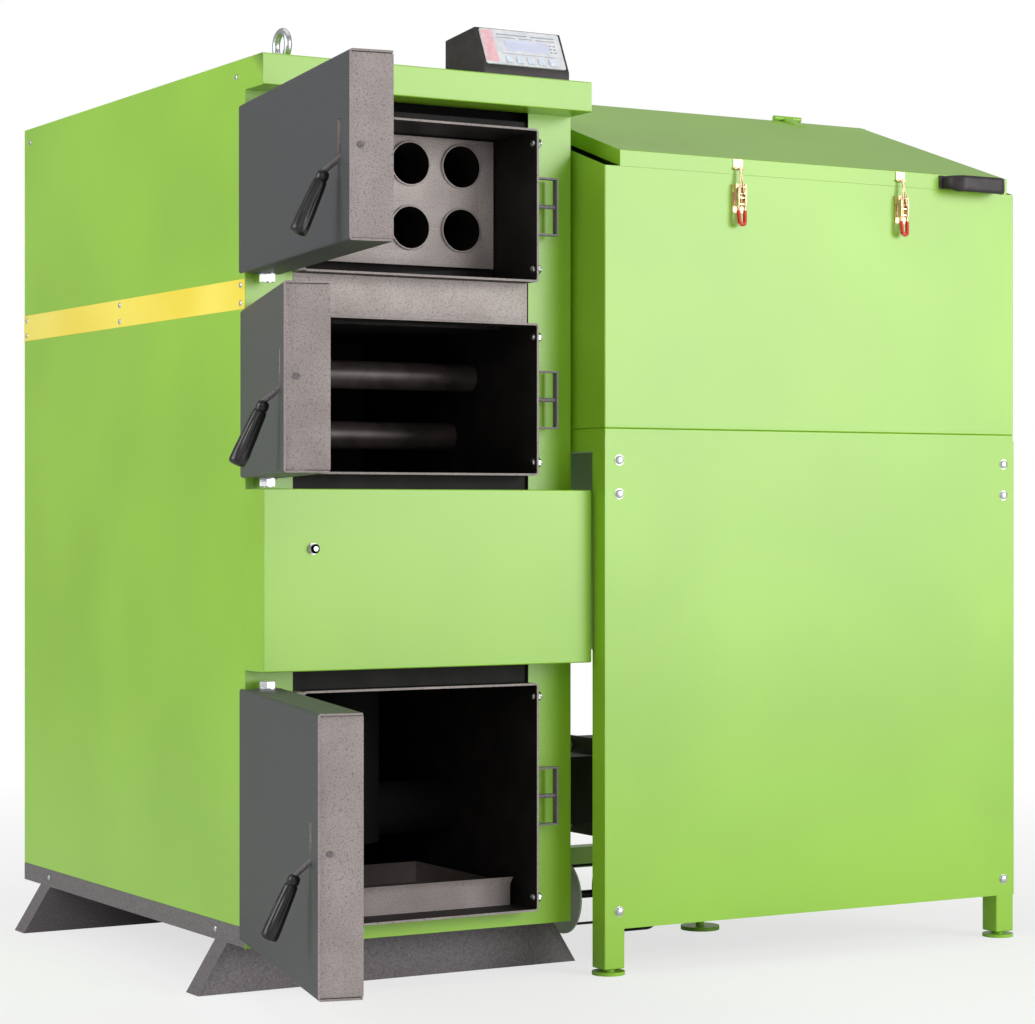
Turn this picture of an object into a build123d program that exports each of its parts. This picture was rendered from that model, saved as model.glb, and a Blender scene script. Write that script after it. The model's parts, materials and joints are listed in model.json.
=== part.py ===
from build123d import *
import os
from math import atan2, cos, degrees, radians, sin, tan

# Pellet boiler with its fuel hopper, in millimetres.
# Z is up and zero on the floor. X is zero on the boiler's middle line. Y points to the back,
# and Y is zero at the middle of the front foot, whose underside holds the origin.

# Boiler casing
casing_width = 760.0
casing_depth = 1233.0
casing_height = 1771.0
sheet = 1.5
plinth_height = 40.0
flange_width = 105.0
front_projection = 84.5
fascia_height = 63.0
stripe_low = 1272.0
stripe_height = 60.0
cover_low = 552.0
cover_height = 362.0
sill_height = 28.0

# Feet
foot_height = 103.0
foot_depth = 60.0
foot_flare = 64.0
foot_plate = 4.0
front_foot_setback = 85.0
rear_foot_setback = 166.0

# Steel body
body_side_gap = 70.0
body_front_gap = 8.0
body_back_gap = 83.0
body_low = 20.0
body_top_gap = 81.0
plate = 6.0
firebox_depth = 746.0
tube_sheet_setback = 131.0
tube_plate = 12.0
tube_plate_low = 1389.0
tube_plate_margin = 4.0
smoke_box_setback = 1000.0
throat_depth = 75.0
tube_outer = 95.0
tube_wall = 3.2
tube_pitch_x = 123.0
tube_pitch_z = 135.0
tube_low_z = 1468.0
tube_proud = 5.0
water_tube_outer = 60.3
water_tube_wall = 4.0
water_tube_places = [(240.0, 1160.0), (330.0, 1034.0)]
weld_gap = 0.3

# Door frames: height above the plinth's lower edge, and how far the door reaches past them
frame_width = 548.0
frame_wall = 4.5
frame_reach = 45.0
frame_radius = 8.0
door_names = ["upper", "middle", "lower"]
frame_lows = {"upper": 1349.0, "middle": 944.0, "lower": 32.5}
frame_heights = {"upper": 321.0, "middle": 319.0, "lower": 477.5}
door_laps_low = {"upper": 7.5, "middle": 8.5, "lower": 17.0}
door_lap_high = 6.5
open_angles = {"upper": 99.7, "middle": 109.0, "lower": 104.2}

# Door shell
door_steel = 4.0
door_width = 736.0
door_left = 6.0
door_flange_end = 4.0
fold_radius = 6.0
edge_inset = 4.0
edge_proud = 2.0
running_gap = 0.3
hinge_inset = 34.0
hinge_standoff = 33.0
hinge_bolt_radius = 10.0
hinge_fit = 0.05
hinge_corner_radius = 31.0
ear_radius = 17.0
ear_neck = 26.0
ear_thickness = 8.0
ear_inset = 2.0
nut_flats = 30.0
nut_height = 14.0
head_height = 12.5
washer_radius = 18.5
washer_thickness = 2.3
thread_end = 2.0

# Door lining and seal
seal_width = 9.0
board_gap = 0.3
block_setback = 13.0

# Latch lever, handle and keeper
latch_past_frame = 26.0
latch_depth = 22.5
latch_pin_radius = 6.0
latch_fit = 0.05
slot_width = 18.0
slot_below = 26.0
slot_above = 52.0
rod_radius = 5.0
hook_thickness = 8.0
hook_gap = 0.5
hook_wall = 6.0
bend_out = 26.0
bend_drop = 41.0
handle_length = 126.0
handle_lean = 24.0
handle_top_radius = 12.0
handle_end_radius = 16.2
keeper_width = 52.0
keeper_height = 122.0
keeper_bar = 4.0
keeper_depth = 16.0
keeper_from_front = 30.0
keeper_pin_radius = 4.5
frame_bolt_inset = 28.0
frame_bolt_radius = 5.0
frame_bolt_flats = 17.0

# Ash pan
pan_side_gap = 17.0
pan_setback = 37.0
pan_depth = 418.0
pan_rear_height = 48.0
pan_front_height = 61.0
pan_wall = 2.0
pan_lip = 14.0

# Flue spigot and pipe sockets on the back
flue_outer = 219.1
flue_wall = 4.0
flue_length = 130.0
socket_outer = 76.1
socket_wall = 3.6
socket_proud = 40.0
socket_side = 200.0
socket_heights = (1250.0, 180.0)
collar_wall = 3.0
collar_proud = 5.0
pipe_gap = 4.0
sleeve_wall = 5.0

# Lifting eyes
eye_stem = 8.0
eye_inset = 110.0
eye_front_setback = 60.0
eye_back_setback = 140.0
eye_ring = 28.0
eye_wire = 8.0

# Burner and feeder
feed_setback = 336.0
feed_height = 223.0
feed_tube_outer = 114.0
feed_tube_wall = 4.0
retort_top = 640.0
retort_floor = 8.0
neck_radius = 85.0
bowl_radius = 75.0
crown_radius = 150.0
crown_height = 60.0
air_hole_count = 24
air_hole_radius = 5.0
air_hole_depth = 25.0
screw_radius = 50.0
screw_core = 15.0
screw_pitch = 90.0
flight = 5.0
trough_gap = 258.0
trough_length = 430.0
trough_width = 150.0
trough_top = 354.0
trough_low = 132.0
motor_length = 260.0

# Fan below the feed tube
fan_gap = 320.0
fan_width = 80.0
fan_radius = 92.0
fan_disc_radius = 84.0
fan_disc_gap = 180.0
impeller_radius = 78.0
blade_count = 12
impeller_shaft = 6.0
fan_sheet = 3.0
fan_motor_radius = 52.0

# Hopper
hopper_gap = 7.0
hopper_width = 1105.5
hopper_front = 124.0
hopper_depth = 920.0
post = 50.0
post_wall = 3.0
post_foot = 13.0
bin_low = 1044.0
bin_front_height = 549.5
bin_sheet = 2.0
rim_slope = 18.5
rim_flat_setback = 545.0
outlet_size = 150.0
panel_low = -6.0
panel_high = 1029.0
lid_side_gap = 38.0
lid_skirt = 34.0
lid_clearance = 0.5
lid_hinge_radius = 6.0
foot_radius = 35.0
feeder_foot_radius = 45.0
toggle_shares = [338.0 / 1105.5, 778.0 / 1105.5]
toggle_names = ["left", "right"]
bow_insets = [202.5, 57.5]
bow_reach = 52.0
bow_bar = 16.0
bow_height = 32.0
lid_hinge_inset = 240.0
lid_knuckle = 26.0
lid_pin_radius = 3.0
lid_leaf = 2.0
foot_stem = 8.0
foot_disc = 7.0

# Toggle latches: each pivot's distance in front of the bin and below its rim
toggle_pivot = (8.0, 27.0)
bail_pivot = (14.0, 42.0)
toggle_pin = 2.0
toggle_plate = 2.0
bail_wire = 1.8
bail_height = 58.0
lever_half = 9.0
lever_hub = 5.0
lever_drop = 81.0
loop_half = 6.0
loop_radius = 3.2
strike_half = 12.0

# Controller on the top cover
controller_left = 513.0
controller_width = 207.0
controller_depth = 165.0
controller_height = 105.0
controller_front = 60.0
controller_slope = 40.0
button_count = 5
button_size = 15.0
button_pitch = 26.0
button_travel = 1.5
button_fit = 0.4
button_rise = 2.0
button_pocket = 5.0
button_row = 17.0
case_lip = 20.0
face_thickness = 3.0
face_margin = 8.0

# Shared places in the model frame
left = -casing_width / 2
right = casing_width / 2
front = -(front_foot_setback + foot_depth / 2)
back = front + casing_depth
base = foot_height
top = base + casing_height
axis_x = left + hinge_inset
axis_y = front - hinge_standoff
body_left = left + body_side_gap
body_right = right - body_side_gap
body_front = front + body_front_gap
body_back = back - body_back_gap
body_bottom = base + body_low
body_top = top - body_top_gap
frame_left = -frame_width / 2
frame_front = front - frame_reach
latch_from_hinge = frame_width / 2 - axis_x + latch_past_frame
cavity_half = frame_width / 2 - frame_wall
firebox_top = base + frame_lows["middle"] + frame_heights["middle"] - frame_wall
firebox_low = base + frame_lows["lower"] + frame_wall
upper_low = base + frame_lows["upper"] + frame_wall
upper_high = base + frame_lows["upper"] + frame_heights["upper"] - frame_wall
feed_y = front + feed_setback
feed_z = base + feed_height
flue_z = base + tube_low_z + tube_pitch_z / 2
socket_places = [(-socket_side, base + socket_heights[0]), (socket_side, base + socket_heights[1])]
eye_places = [(left + eye_inset, front + eye_front_setback), (right - eye_inset, back - eye_back_setback)]
tube_xs = [tube_pitch_x * (i - 1.5) for i in range(4)]
tube_zs = [base + tube_low_z, base + tube_low_z + tube_pitch_z]
sheet_y = front + tube_sheet_setback
smoke_y = front + smoke_box_setback
seal_lap = (seal_width - frame_wall) / 2
seal_rear = hinge_standoff - frame_reach - running_gap
seal_front = seal_rear - seal_width
door_face = hinge_standoff - front_projection
door_rear = hinge_standoff - door_flange_end
door_start = door_left - hinge_inset
door_end = door_start + door_width
feed_tube_start = cavity_half + plate + 2
hopper_x0 = right + hopper_gap
hopper_x1 = hopper_x0 + hopper_width
hopper_y0 = front - hopper_front
hopper_y1 = hopper_y0 + hopper_depth
hopper_x = (hopper_x0 + hopper_x1) / 2
toggle_places = [hopper_width * share for share in toggle_shares]
hopper_y = (hopper_y0 + hopper_y1) / 2
bin_z0 = base + bin_low
rim_front_z = bin_z0 + bin_front_height
rim_y = hopper_y0 + rim_flat_setback
rim_rise = rim_flat_setback * tan(radians(rim_slope))
lid_z = rim_front_z + lid_clearance
bin_top = rim_front_z + rim_rise + lid_clearance + lid_skirt
hinge_y = rim_y + 2
hinge_z = bin_top + lid_hinge_radius + 1
lid_hinge_xs = (hopper_x0 + lid_hinge_inset, hopper_x1 - lid_hinge_inset)
trough_x0 = right + trough_gap
trough_x1 = trough_x0 + trough_length
trough_z0 = base + trough_low
trough_z1 = base + trough_top
post_places = [(x, y) for x in (hopper_x0, hopper_x1 - post) for y in (hopper_y0, hopper_y1 - post)]
fan_x0 = right + fan_gap
fan_x1 = fan_x0 + fan_width
fan_z = base
case_x0 = left + controller_left
case_y0 = front - controller_front
face_height = controller_height - case_lip
face_length = (face_height ** 2 + controller_slope ** 2) ** 0.5
face_plane = Plane(origin=(case_x0, case_y0, top + case_lip), x_dir=(1, 0, 0),
                   z_dir=(0, -face_height / face_length, controller_slope / face_length))


def save(piece, name):
    """Label one finished piece and write it to its own file."""
    piece.part.label = name
    export_step(piece.part, f"parts/{name}.step")


def block(low, high, mode=Mode.ADD):
    """Add or cut a box between two opposite corners."""
    sides = [b - a for a, b in zip(low, high)]
    middle = [(a + b) / 2 for a, b in zip(low, high)]
    with Locations(tuple(middle)):
        Box(*sides, mode=mode)


def rod_x(x0, x1, y, z, radius, mode=Mode.ADD):
    """Add or cut a round bar along X."""
    with Locations(((x0 + x1) / 2, y, z)):
        Cylinder(radius, x1 - x0, rotation=(0, 90, 0), mode=mode)


def rod_y(x, y0, y1, z, radius, mode=Mode.ADD):
    """Add or cut a round bar along Y."""
    with Locations((x, (y0 + y1) / 2, z)):
        Cylinder(radius, y1 - y0, rotation=(90, 0, 0), mode=mode)


def rod_z(x, y, z0, z1, radius, mode=Mode.ADD):
    """Add or cut a round bar along Z."""
    with Locations((x, y, (z0 + z1) / 2)):
        Cylinder(radius, z1 - z0, mode=mode)


def door_low(name):
    """Height of a door's lower edge."""
    return base + frame_lows[name] - door_laps_low[name]


def door_high(name):
    """Height of a door's upper edge."""
    return base + frame_lows[name] + frame_heights[name] + door_lap_high


def latch_height(name):
    """Height of a door's latch pin, at the middle of its frame."""
    return base + frame_lows[name] + frame_heights[name] / 2


def door_plane(name):
    """Plane of an open door: x runs from the hinge to the free edge, y into the door."""
    angle = radians(open_angles[name])
    return Plane(origin=(axis_x, axis_y, door_low(name)), x_dir=(cos(angle), -sin(angle), 0),
                 z_dir=(0, 0, 1))


def make_body():
    """Welded steel body: water jacket, tall firebox, throat, front chamber and rear smoke box."""
    with BuildPart() as body:
        block((body_left, body_front, body_bottom), (body_right, body_back, body_top))
        block((body_left + plate, body_front + plate, body_bottom + plate),
              (body_right - plate, body_back - plate, body_top - plate), Mode.SUBTRACT)
        half = cavity_half
        fire_back = front + firebox_depth
        sheet_back = sheet_y + tube_plate + plate
        throat_y = body_front + plate + 20
        chambers = [
            ((body_front, fire_back), (firebox_low, firebox_top)),
            ((body_front, sheet_back), (upper_low, upper_high)),
            ((throat_y, throat_y + throat_depth), (firebox_top, upper_low)),
            ((smoke_y, body_back - plate), (upper_low, upper_high)),
        ]
        for (y0, y1), (z0, z1) in chambers:
            block((-half - plate, y0 - plate if y0 > body_front else y0, z0 - plate),
                  (half + plate, min(y1 + plate, body_back), z1 + plate))
        rod_x(half, body_right, feed_y, feed_z, feed_tube_outer / 2 + weld_gap + sleeve_wall)
        block((-half, body_front + plate, firebox_low), (half, fire_back, firebox_top), Mode.SUBTRACT)
        block((-half, body_front - 1, upper_low), (half, sheet_back + plate + 1, upper_high), Mode.SUBTRACT)
        block((-half, throat_y, firebox_top - 1), (half, throat_y + throat_depth, upper_low + 1),
              Mode.SUBTRACT)
        block((-half, smoke_y, upper_low), (half, body_back - plate, upper_high), Mode.SUBTRACT)
        for name in ("middle", "lower"):
            z0 = base + frame_lows[name] + frame_wall
            z1 = base + frame_lows[name] + frame_heights[name] - frame_wall
            block((-half, body_front - 1, z0), (half, body_front + plate + 1, z1), Mode.SUBTRACT)
        for x in tube_xs:
            for z in tube_zs:
                rod_y(x, smoke_y - plate - 1, smoke_y + 1, z, tube_outer / 2 + weld_gap, Mode.SUBTRACT)
        for y, z in water_tube_places:
            rod_x(-half - plate - 1, half + plate + 1, front + y, base + z,
                  water_tube_outer / 2 + weld_gap, Mode.SUBTRACT)
        rod_y(0, body_back - plate - 1, body_back + 1, flue_z, flue_outer / 2 - flue_wall, Mode.SUBTRACT)
        for x, z in socket_places:
            rod_y(x, body_back - plate - 1, body_back + 1, z, socket_outer / 2 - socket_wall, Mode.SUBTRACT)
        rod_x(half - 1, body_right + 1, feed_y, feed_z, feed_tube_outer / 2 + weld_gap, Mode.SUBTRACT)
    save(body, "boiler_body")


def make_frames():
    """Door frames with the plate between the upper two and the ears that hold the hinge bolts."""
    with BuildPart() as frames:
        for name in door_names:
            middle_z = base + frame_lows[name] + frame_heights[name] / 2
            with BuildSketch(Plane.XZ.offset(-body_front)):
                with Locations((0, middle_z)):
                    RectangleRounded(frame_width, frame_heights[name], frame_radius)
                    RectangleRounded(frame_width - 2 * frame_wall, frame_heights[name] - 2 * frame_wall,
                                     frame_radius - frame_wall, mode=Mode.SUBTRACT)
            extrude(amount=body_front - frame_front)
        bridge_low = base + frame_lows["middle"] + frame_heights["middle"]
        bridge_high = base + frame_lows["upper"]
        block((frame_left + 1, front + ear_inset, bridge_low - 1),
              (-frame_left - 1, body_front, bridge_high + 1))
        for name in door_names:
            low = base + frame_lows[name] + ear_inset
            high = base + frame_lows[name] + frame_heights[name] - ear_inset - ear_thickness
            for z in (low, high):
                rod_z(axis_x, axis_y, z, z + ear_thickness, ear_radius)
                block((axis_x, axis_y - ear_neck / 2 + 2, z),
                      (frame_left + frame_wall - 1, axis_y + ear_neck / 2, z + ear_thickness))
                rod_z(axis_x, axis_y, z - 1, z + ear_thickness + 1, hinge_bolt_radius + hinge_fit,
                      Mode.SUBTRACT)
            for z in frame_bolt_heights(name):
                rod_x(-frame_left - frame_wall - 1, -frame_left + 1, front - keeper_from_front, z,
                      frame_bolt_radius + weld_gap, Mode.SUBTRACT)
    save(frames, "door_frames")


def frame_bolt_heights(name):
    """Heights of the two bolts through a frame's right wall."""
    low = base + frame_lows[name]
    return (low + frame_bolt_inset, low + frame_heights[name] - frame_bolt_inset)


def make_tubes():
    """Welded bundle of tube plates and flue tubes, and the two water tubes across the firebox."""
    half = cavity_half
    with BuildPart() as tubes:
        block((-half, sheet_y + tube_plate, upper_low), (half, sheet_y + tube_plate + plate, upper_high))
        block((-half + tube_plate_margin, sheet_y, base + tube_plate_low),
              (half - tube_plate_margin, sheet_y + tube_plate, upper_high - tube_plate_margin))
        for x in tube_xs:
            for z in tube_zs:
                rod_y(x, sheet_y - tube_proud, smoke_y + tube_proud, z, tube_outer / 2)
        for x in tube_xs:
            for z in tube_zs:
                rod_y(x, sheet_y - tube_proud - 1, smoke_y + tube_proud + 1, z,
                      tube_outer / 2 - tube_wall, Mode.SUBTRACT)
        for y, z in water_tube_places:
            rod_x(-half - plate, half + plate, front + y, base + z, water_tube_outer / 2)
            rod_x(-half - plate, half + plate, front + y, base + z,
                  water_tube_outer / 2 - water_tube_wall, Mode.SUBTRACT)
    save(tubes, "tube_bundle")


def make_side_panel(name, side):
    """Folded side panel with its front and rear flanges; side is -1 on the left, 1 on the right."""
    outer = side * casing_width / 2

    def across(a, b):
        ends = (outer - side * a, outer - side * b)
        return min(ends), max(ends)

    low = base + plinth_height
    high = top - sheet
    with BuildPart() as panel:
        x0, x1 = across(0, sheet)
        block((x0, front, low), (x1, back, high))
        x0, x1 = across(0, flange_width)
        block((x0, front, low), (x1, front + sheet, high))
        x0, x1 = across(0, flange_width / 2)
        block((x0, back - sheet, low), (x1, back, high))
        if side > 0:
            block((left + flange_width + sheet, front, base - sheet),
                  (right, front + sheet, base + sill_height))
            block((right - flange_width, front, base - sheet), (right, front + sheet, low))
            rod_x(right - sheet - 1, right + 1, feed_y, feed_z, feed_tube_outer / 2 + 4, Mode.SUBTRACT)
        else:
            block((left, front, base - sheet), (left + flange_width, front + sheet, low))
    save(panel, name)


def make_rear_panel():
    """Rear panel between the side panels' flanges, with holes for the pipes."""
    with BuildPart() as panel:
        block((left + sheet + 1, back - 2 * sheet, base + plinth_height),
              (right - sheet - 1, back - sheet, top - sheet))
        rod_y(0, back - 5, back + 5, flue_z, flue_outer / 2 + collar_wall + pipe_gap, Mode.SUBTRACT)
        for x, z in socket_places:
            rod_y(x, back - 5, back + 5, z, socket_outer / 2 + collar_wall + pipe_gap, Mode.SUBTRACT)
    save(panel, "rear_panel")


def make_top_cover():
    """Top cover folded down into the fascia box over the doors."""
    with BuildPart() as cover:
        block((left, front - front_projection, top - fascia_height), (right, front, top))
        block((left + sheet, front - front_projection + sheet, top - fascia_height + sheet),
              (right - sheet, front + 1, top - sheet), Mode.SUBTRACT)
        block((left, front - 1, top - sheet), (right, back, top))
        for x, y in eye_places:
            rod_z(x, y, top - sheet - 1, top + 1, eye_stem + weld_gap, Mode.SUBTRACT)
    save(cover, "top_cover")


def make_middle_cover():
    """Box-shaped cover over the burner zone, open at the back."""
    z0 = base + cover_low
    z1 = z0 + cover_height
    with BuildPart() as cover:
        block((left, front - front_projection, z0), (right, front - running_gap, z1))
        block((left + sheet, front - front_projection + sheet, z0 + sheet),
              (right - sheet, front, z1 - sheet), Mode.SUBTRACT)
    save(cover, "middle_cover")


def make_base():
    """Dark plinth rails along the sides and the two folded feet across them."""
    with BuildPart() as frame:
        for side in (-1, 1):
            ends = sorted((side * right, side * (right - plinth_height)))
            block((ends[0], front + sheet + 0.5, base), (ends[1], back, base + plinth_height - 0.5))
            inner = sorted((side * (right - 3), side * (right - plinth_height - 1)))
            block((inner[0], front, base + 3), (inner[1], back + 1, base + plinth_height + 1),
                  Mode.SUBTRACT)
        block((left + 3, back - rear_foot_setback, base), (right - 3,
                                                           back - rear_foot_setback + foot_depth, base + 3))
        block((body_left, front + front_foot_setback, base), (body_right,
                                                              front + front_foot_setback + foot_depth,
                                                            body_bottom))
        block((body_left, back - rear_foot_setback, base), (body_right,
                                                            back - rear_foot_setback + foot_depth,
                                                           body_bottom))
        for y in (front + front_foot_setback, back - rear_foot_setback):
            for inset, mode in ((0, Mode.ADD), (foot_plate, Mode.SUBTRACT)):
                start = y if mode == Mode.ADD else y + foot_plate
                with BuildSketch(Plane.XZ.offset(-start)):
                    with BuildLine():
                        Polyline((left + inset, base - inset), (left - foot_flare + 1.4 * inset, inset),
                                 (right + foot_flare - 1.4 * inset, inset), (right - inset, base - inset),
                                 close=True)
                    make_face()
                extrude(amount=-foot_depth, mode=mode)
    save(frame, "base_frame")


def make_stripe():
    """Flat stripe along the left side, held by rivets at its ends and middle."""
    z0 = base + stripe_low
    with BuildPart() as stripe:
        block((left - 1.0, front, z0), (left, back, z0 + stripe_height))
        for y in (front + 18, front + 28 + casing_depth / 2, back - 18):
            for z in (z0 + 12, z0 + stripe_height - 12):
                rod_x(left - 2.5, left - 1.0, y, z, 4.0)
    save(stripe, "left_stripe")


def make_casing_screws():
    """Round-headed screws of the side panels and the plinth."""
    with BuildPart() as screws:
        for side in (-1, 1):
            for y, z in ((front + 41, top - 33), (back - 40, top - 33), (front + 142, base + 21),
                         (back - 160, base + 21)):
                ends = sorted((side * right, side * (right + 3)))
                rod_x(ends[0], ends[1], y, z, 6.0)
    save(screws, "casing_screws")


def make_frame_bolts():
    """Bolts through the frames' right walls and the bolt on the middle cover."""
    with BuildPart() as bolts:
        for name in door_names:
            for z in frame_bolt_heights(name):
                wall = -frame_left
                y = front - keeper_from_front
                rod_x(wall - frame_wall - 6, wall + 14, y, z, frame_bolt_radius)
                rod_x(wall - frame_wall - 6, wall - frame_wall, y, z, 8.0)
                with BuildSketch(Plane.YZ.offset(wall)):
                    with Locations((y, z)):
                        RegularPolygon(frame_bolt_flats / 2, 6, major_radius=False)
                extrude(amount=9)
        with BuildSketch(Plane.XZ.offset(-(front - front_projection))):
            with Locations((left + 109, base + 795)):
                RegularPolygon(frame_bolt_flats / 2, 6, major_radius=False)
        extrude(amount=7)
    save(bolts, "frame_bolts")


def make_hinge_bolts():
    """Long hinge bolts with heads, washers, spacers and nuts, one for each door."""
    with BuildPart() as bolts:
        for name in door_names:
            low = door_low(name)
            high = door_high(name)
            ear_low = base + frame_lows[name] + ear_inset
            ear_high = base + frame_lows[name] + frame_heights[name] - ear_inset
            rod_z(axis_x, axis_y, low - running_gap - washer_thickness - nut_height - thread_end,
                  high + running_gap + washer_thickness, hinge_bolt_radius)
            rod_z(axis_x, axis_y, low - running_gap - washer_thickness, low - running_gap, washer_radius)
            rod_z(axis_x, axis_y, high + running_gap, high + running_gap + washer_thickness, washer_radius)
            rod_z(axis_x, axis_y, low + door_steel + running_gap, ear_low, ear_radius - 2)
            rod_z(axis_x, axis_y, ear_high, high - door_steel - running_gap, ear_radius - 2)
            with BuildSketch(Plane.XY.offset(low - running_gap - washer_thickness - nut_height)):
                with Locations((axis_x, axis_y)):
                    RegularPolygon(nut_flats / 2, 6, major_radius=False)
            extrude(amount=nut_height)
            with BuildSketch(Plane.XY.offset(high + running_gap + washer_thickness)):
                with Locations((axis_x, axis_y)):
                    RegularPolygon(nut_flats / 2, 6, major_radius=False)
            extrude(amount=head_height)
    save(bolts, "hinge_bolts")


def make_keepers():
    """Flat-bar keepers welded to the frames, each with a round pin for the latch hook."""
    wall = -frame_left
    y0 = front - keeper_from_front - keeper_depth / 2
    with BuildPart() as keepers:
        for name in door_names:
            z = latch_height(name)
            block((wall, y0, z - keeper_height / 2), (wall + keeper_width, y0 + keeper_depth,
                                                      z + keeper_height / 2))
            block((wall - 1, y0 - 1, z - keeper_height / 2 + keeper_bar),
                  (wall + keeper_width - keeper_bar, y0 + keeper_depth + 1,
                   z + keeper_height / 2 - keeper_bar),
                  Mode.SUBTRACT)
            rod_x(wall, wall + keeper_width - keeper_bar / 2, front - keeper_from_front, z,
                  keeper_pin_radius)
    save(keepers, "latch_keepers")


def make_eye_bolts():
    """Lifting eyes screwed into the steel body through the top cover."""
    ring_z = top + eye_ring + eye_wire + 6
    with BuildPart() as eyes:
        for x, y in eye_places:
            with Locations((x, y, ring_z)):
                Torus(eye_ring, eye_wire, rotation=(0, 90, 0))
            rod_z(x, y, body_top, top + 10, eye_stem)
            rod_z(x, y, top, top + 8, 18)
            rod_z(x, y, top, ring_z - eye_ring, 10)
    save(eyes, "eye_bolts")


def make_insulation():
    """Mineral wool slabs between the steel body and the casing."""
    gap = running_gap
    with BuildPart() as wool:
        for side in (-1, 1):
            ends = sorted((side * (right - sheet - gap), side * (body_right + gap)))
            block((ends[0], body_front + 20, body_bottom + 30), (ends[1], body_back, body_top))
        rod_x(body_right, right, feed_y, feed_z, feed_tube_outer / 2 + 12, Mode.SUBTRACT)
        block((left + 5, body_back + gap, base + plinth_height + 10),
              (right - 5, back - 2 * sheet - gap, top - 10))
        rod_y(0, body_back, back, flue_z, flue_outer / 2 + collar_wall + gap, Mode.SUBTRACT)
        for x, z in socket_places:
            rod_y(x, body_back, back, z, socket_outer / 2 + collar_wall + gap, Mode.SUBTRACT)
        block((left + 5, body_front + 20, body_top + gap), (right - 5, body_back, top - sheet - gap))
        for x, y in eye_places:
            rod_z(x, y, body_top, top, eye_stem + gap, Mode.SUBTRACT)
    save(wool, "insulation")


def make_rear_connections():
    """Flue spigot and the two pipe sockets on the back, each with a weld collar through the casing."""
    with BuildPart() as pipes:
        rod_y(0, body_back, back + flue_length, flue_z, flue_outer / 2)
        rod_y(0, body_back, back + collar_proud, flue_z, flue_outer / 2 + collar_wall)
        rod_y(0, body_back - 1, back + flue_length + 1, flue_z, flue_outer / 2 - flue_wall, Mode.SUBTRACT)
        for x, z in socket_places:
            rod_y(x, body_back, back + socket_proud, z, socket_outer / 2)
            rod_y(x, body_back, back + collar_proud, z, socket_outer / 2 + collar_wall)
            rod_y(x, body_back - 1, back + socket_proud + 1, z, socket_outer / 2 - socket_wall,
                  Mode.SUBTRACT)
    save(pipes, "rear_connections")


def make_retort():
    """Cast burner: feed elbow rising to the round crown where the pellets burn."""
    crown_z = base + retort_top
    elbow_z = feed_z - feed_tube_outer / 2
    with BuildPart() as retort:
        rod_x(0, feed_tube_start, feed_y, feed_z, feed_tube_outer / 2)
        rod_z(0, feed_y, elbow_z - retort_floor, crown_z - crown_height, neck_radius)
        rod_z(0, feed_y, crown_z - crown_height, crown_z, crown_radius)
        rod_z(0, feed_y, elbow_z - 2, crown_z + 1, bowl_radius, Mode.SUBTRACT)
        rod_x(0, feed_tube_start + 1, feed_y, feed_z, feed_tube_outer / 2 - feed_tube_wall, Mode.SUBTRACT)
        with Locations((0, feed_y, crown_z - air_hole_depth)):
            with PolarLocations((bowl_radius + crown_radius) / 2, air_hole_count):
                Cylinder(air_hole_radius, air_hole_depth + 1, align=(Align.CENTER, Align.CENTER, Align.MIN),
                         mode=Mode.SUBTRACT)
    save(retort, "burner_retort")


def make_ash_pan():
    """Sheet-metal ash pan that slides out through the lower door's frame."""
    x = cavity_half - pan_side_gap
    y0 = front + pan_setback
    z0 = firebox_low + running_gap
    with BuildPart() as pan:
        block((-x, y0, z0), (x, y0 + pan_depth, z0 + pan_rear_height))
        block((-x, y0, z0), (x, y0 + pan_wall, z0 + pan_front_height - pan_lip))
        block((-x + pan_wall, y0 + pan_wall, z0 + pan_wall),
              (x - pan_wall, y0 + pan_depth - pan_wall, z0 + pan_front_height), Mode.SUBTRACT)
        rim = z0 + pan_front_height - pan_lip
        with BuildSketch(Plane.YZ.offset(-x)):
            with BuildLine():
                Polyline((y0, rim - pan_wall), (y0 - pan_lip, rim + pan_lip),
                         (y0 - pan_lip + pan_wall, rim + pan_lip),
                         (y0 + pan_wall, rim), close=True)
            make_face()
        extrude(amount=2 * x)
    save(pan, "ash_pan")


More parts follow.
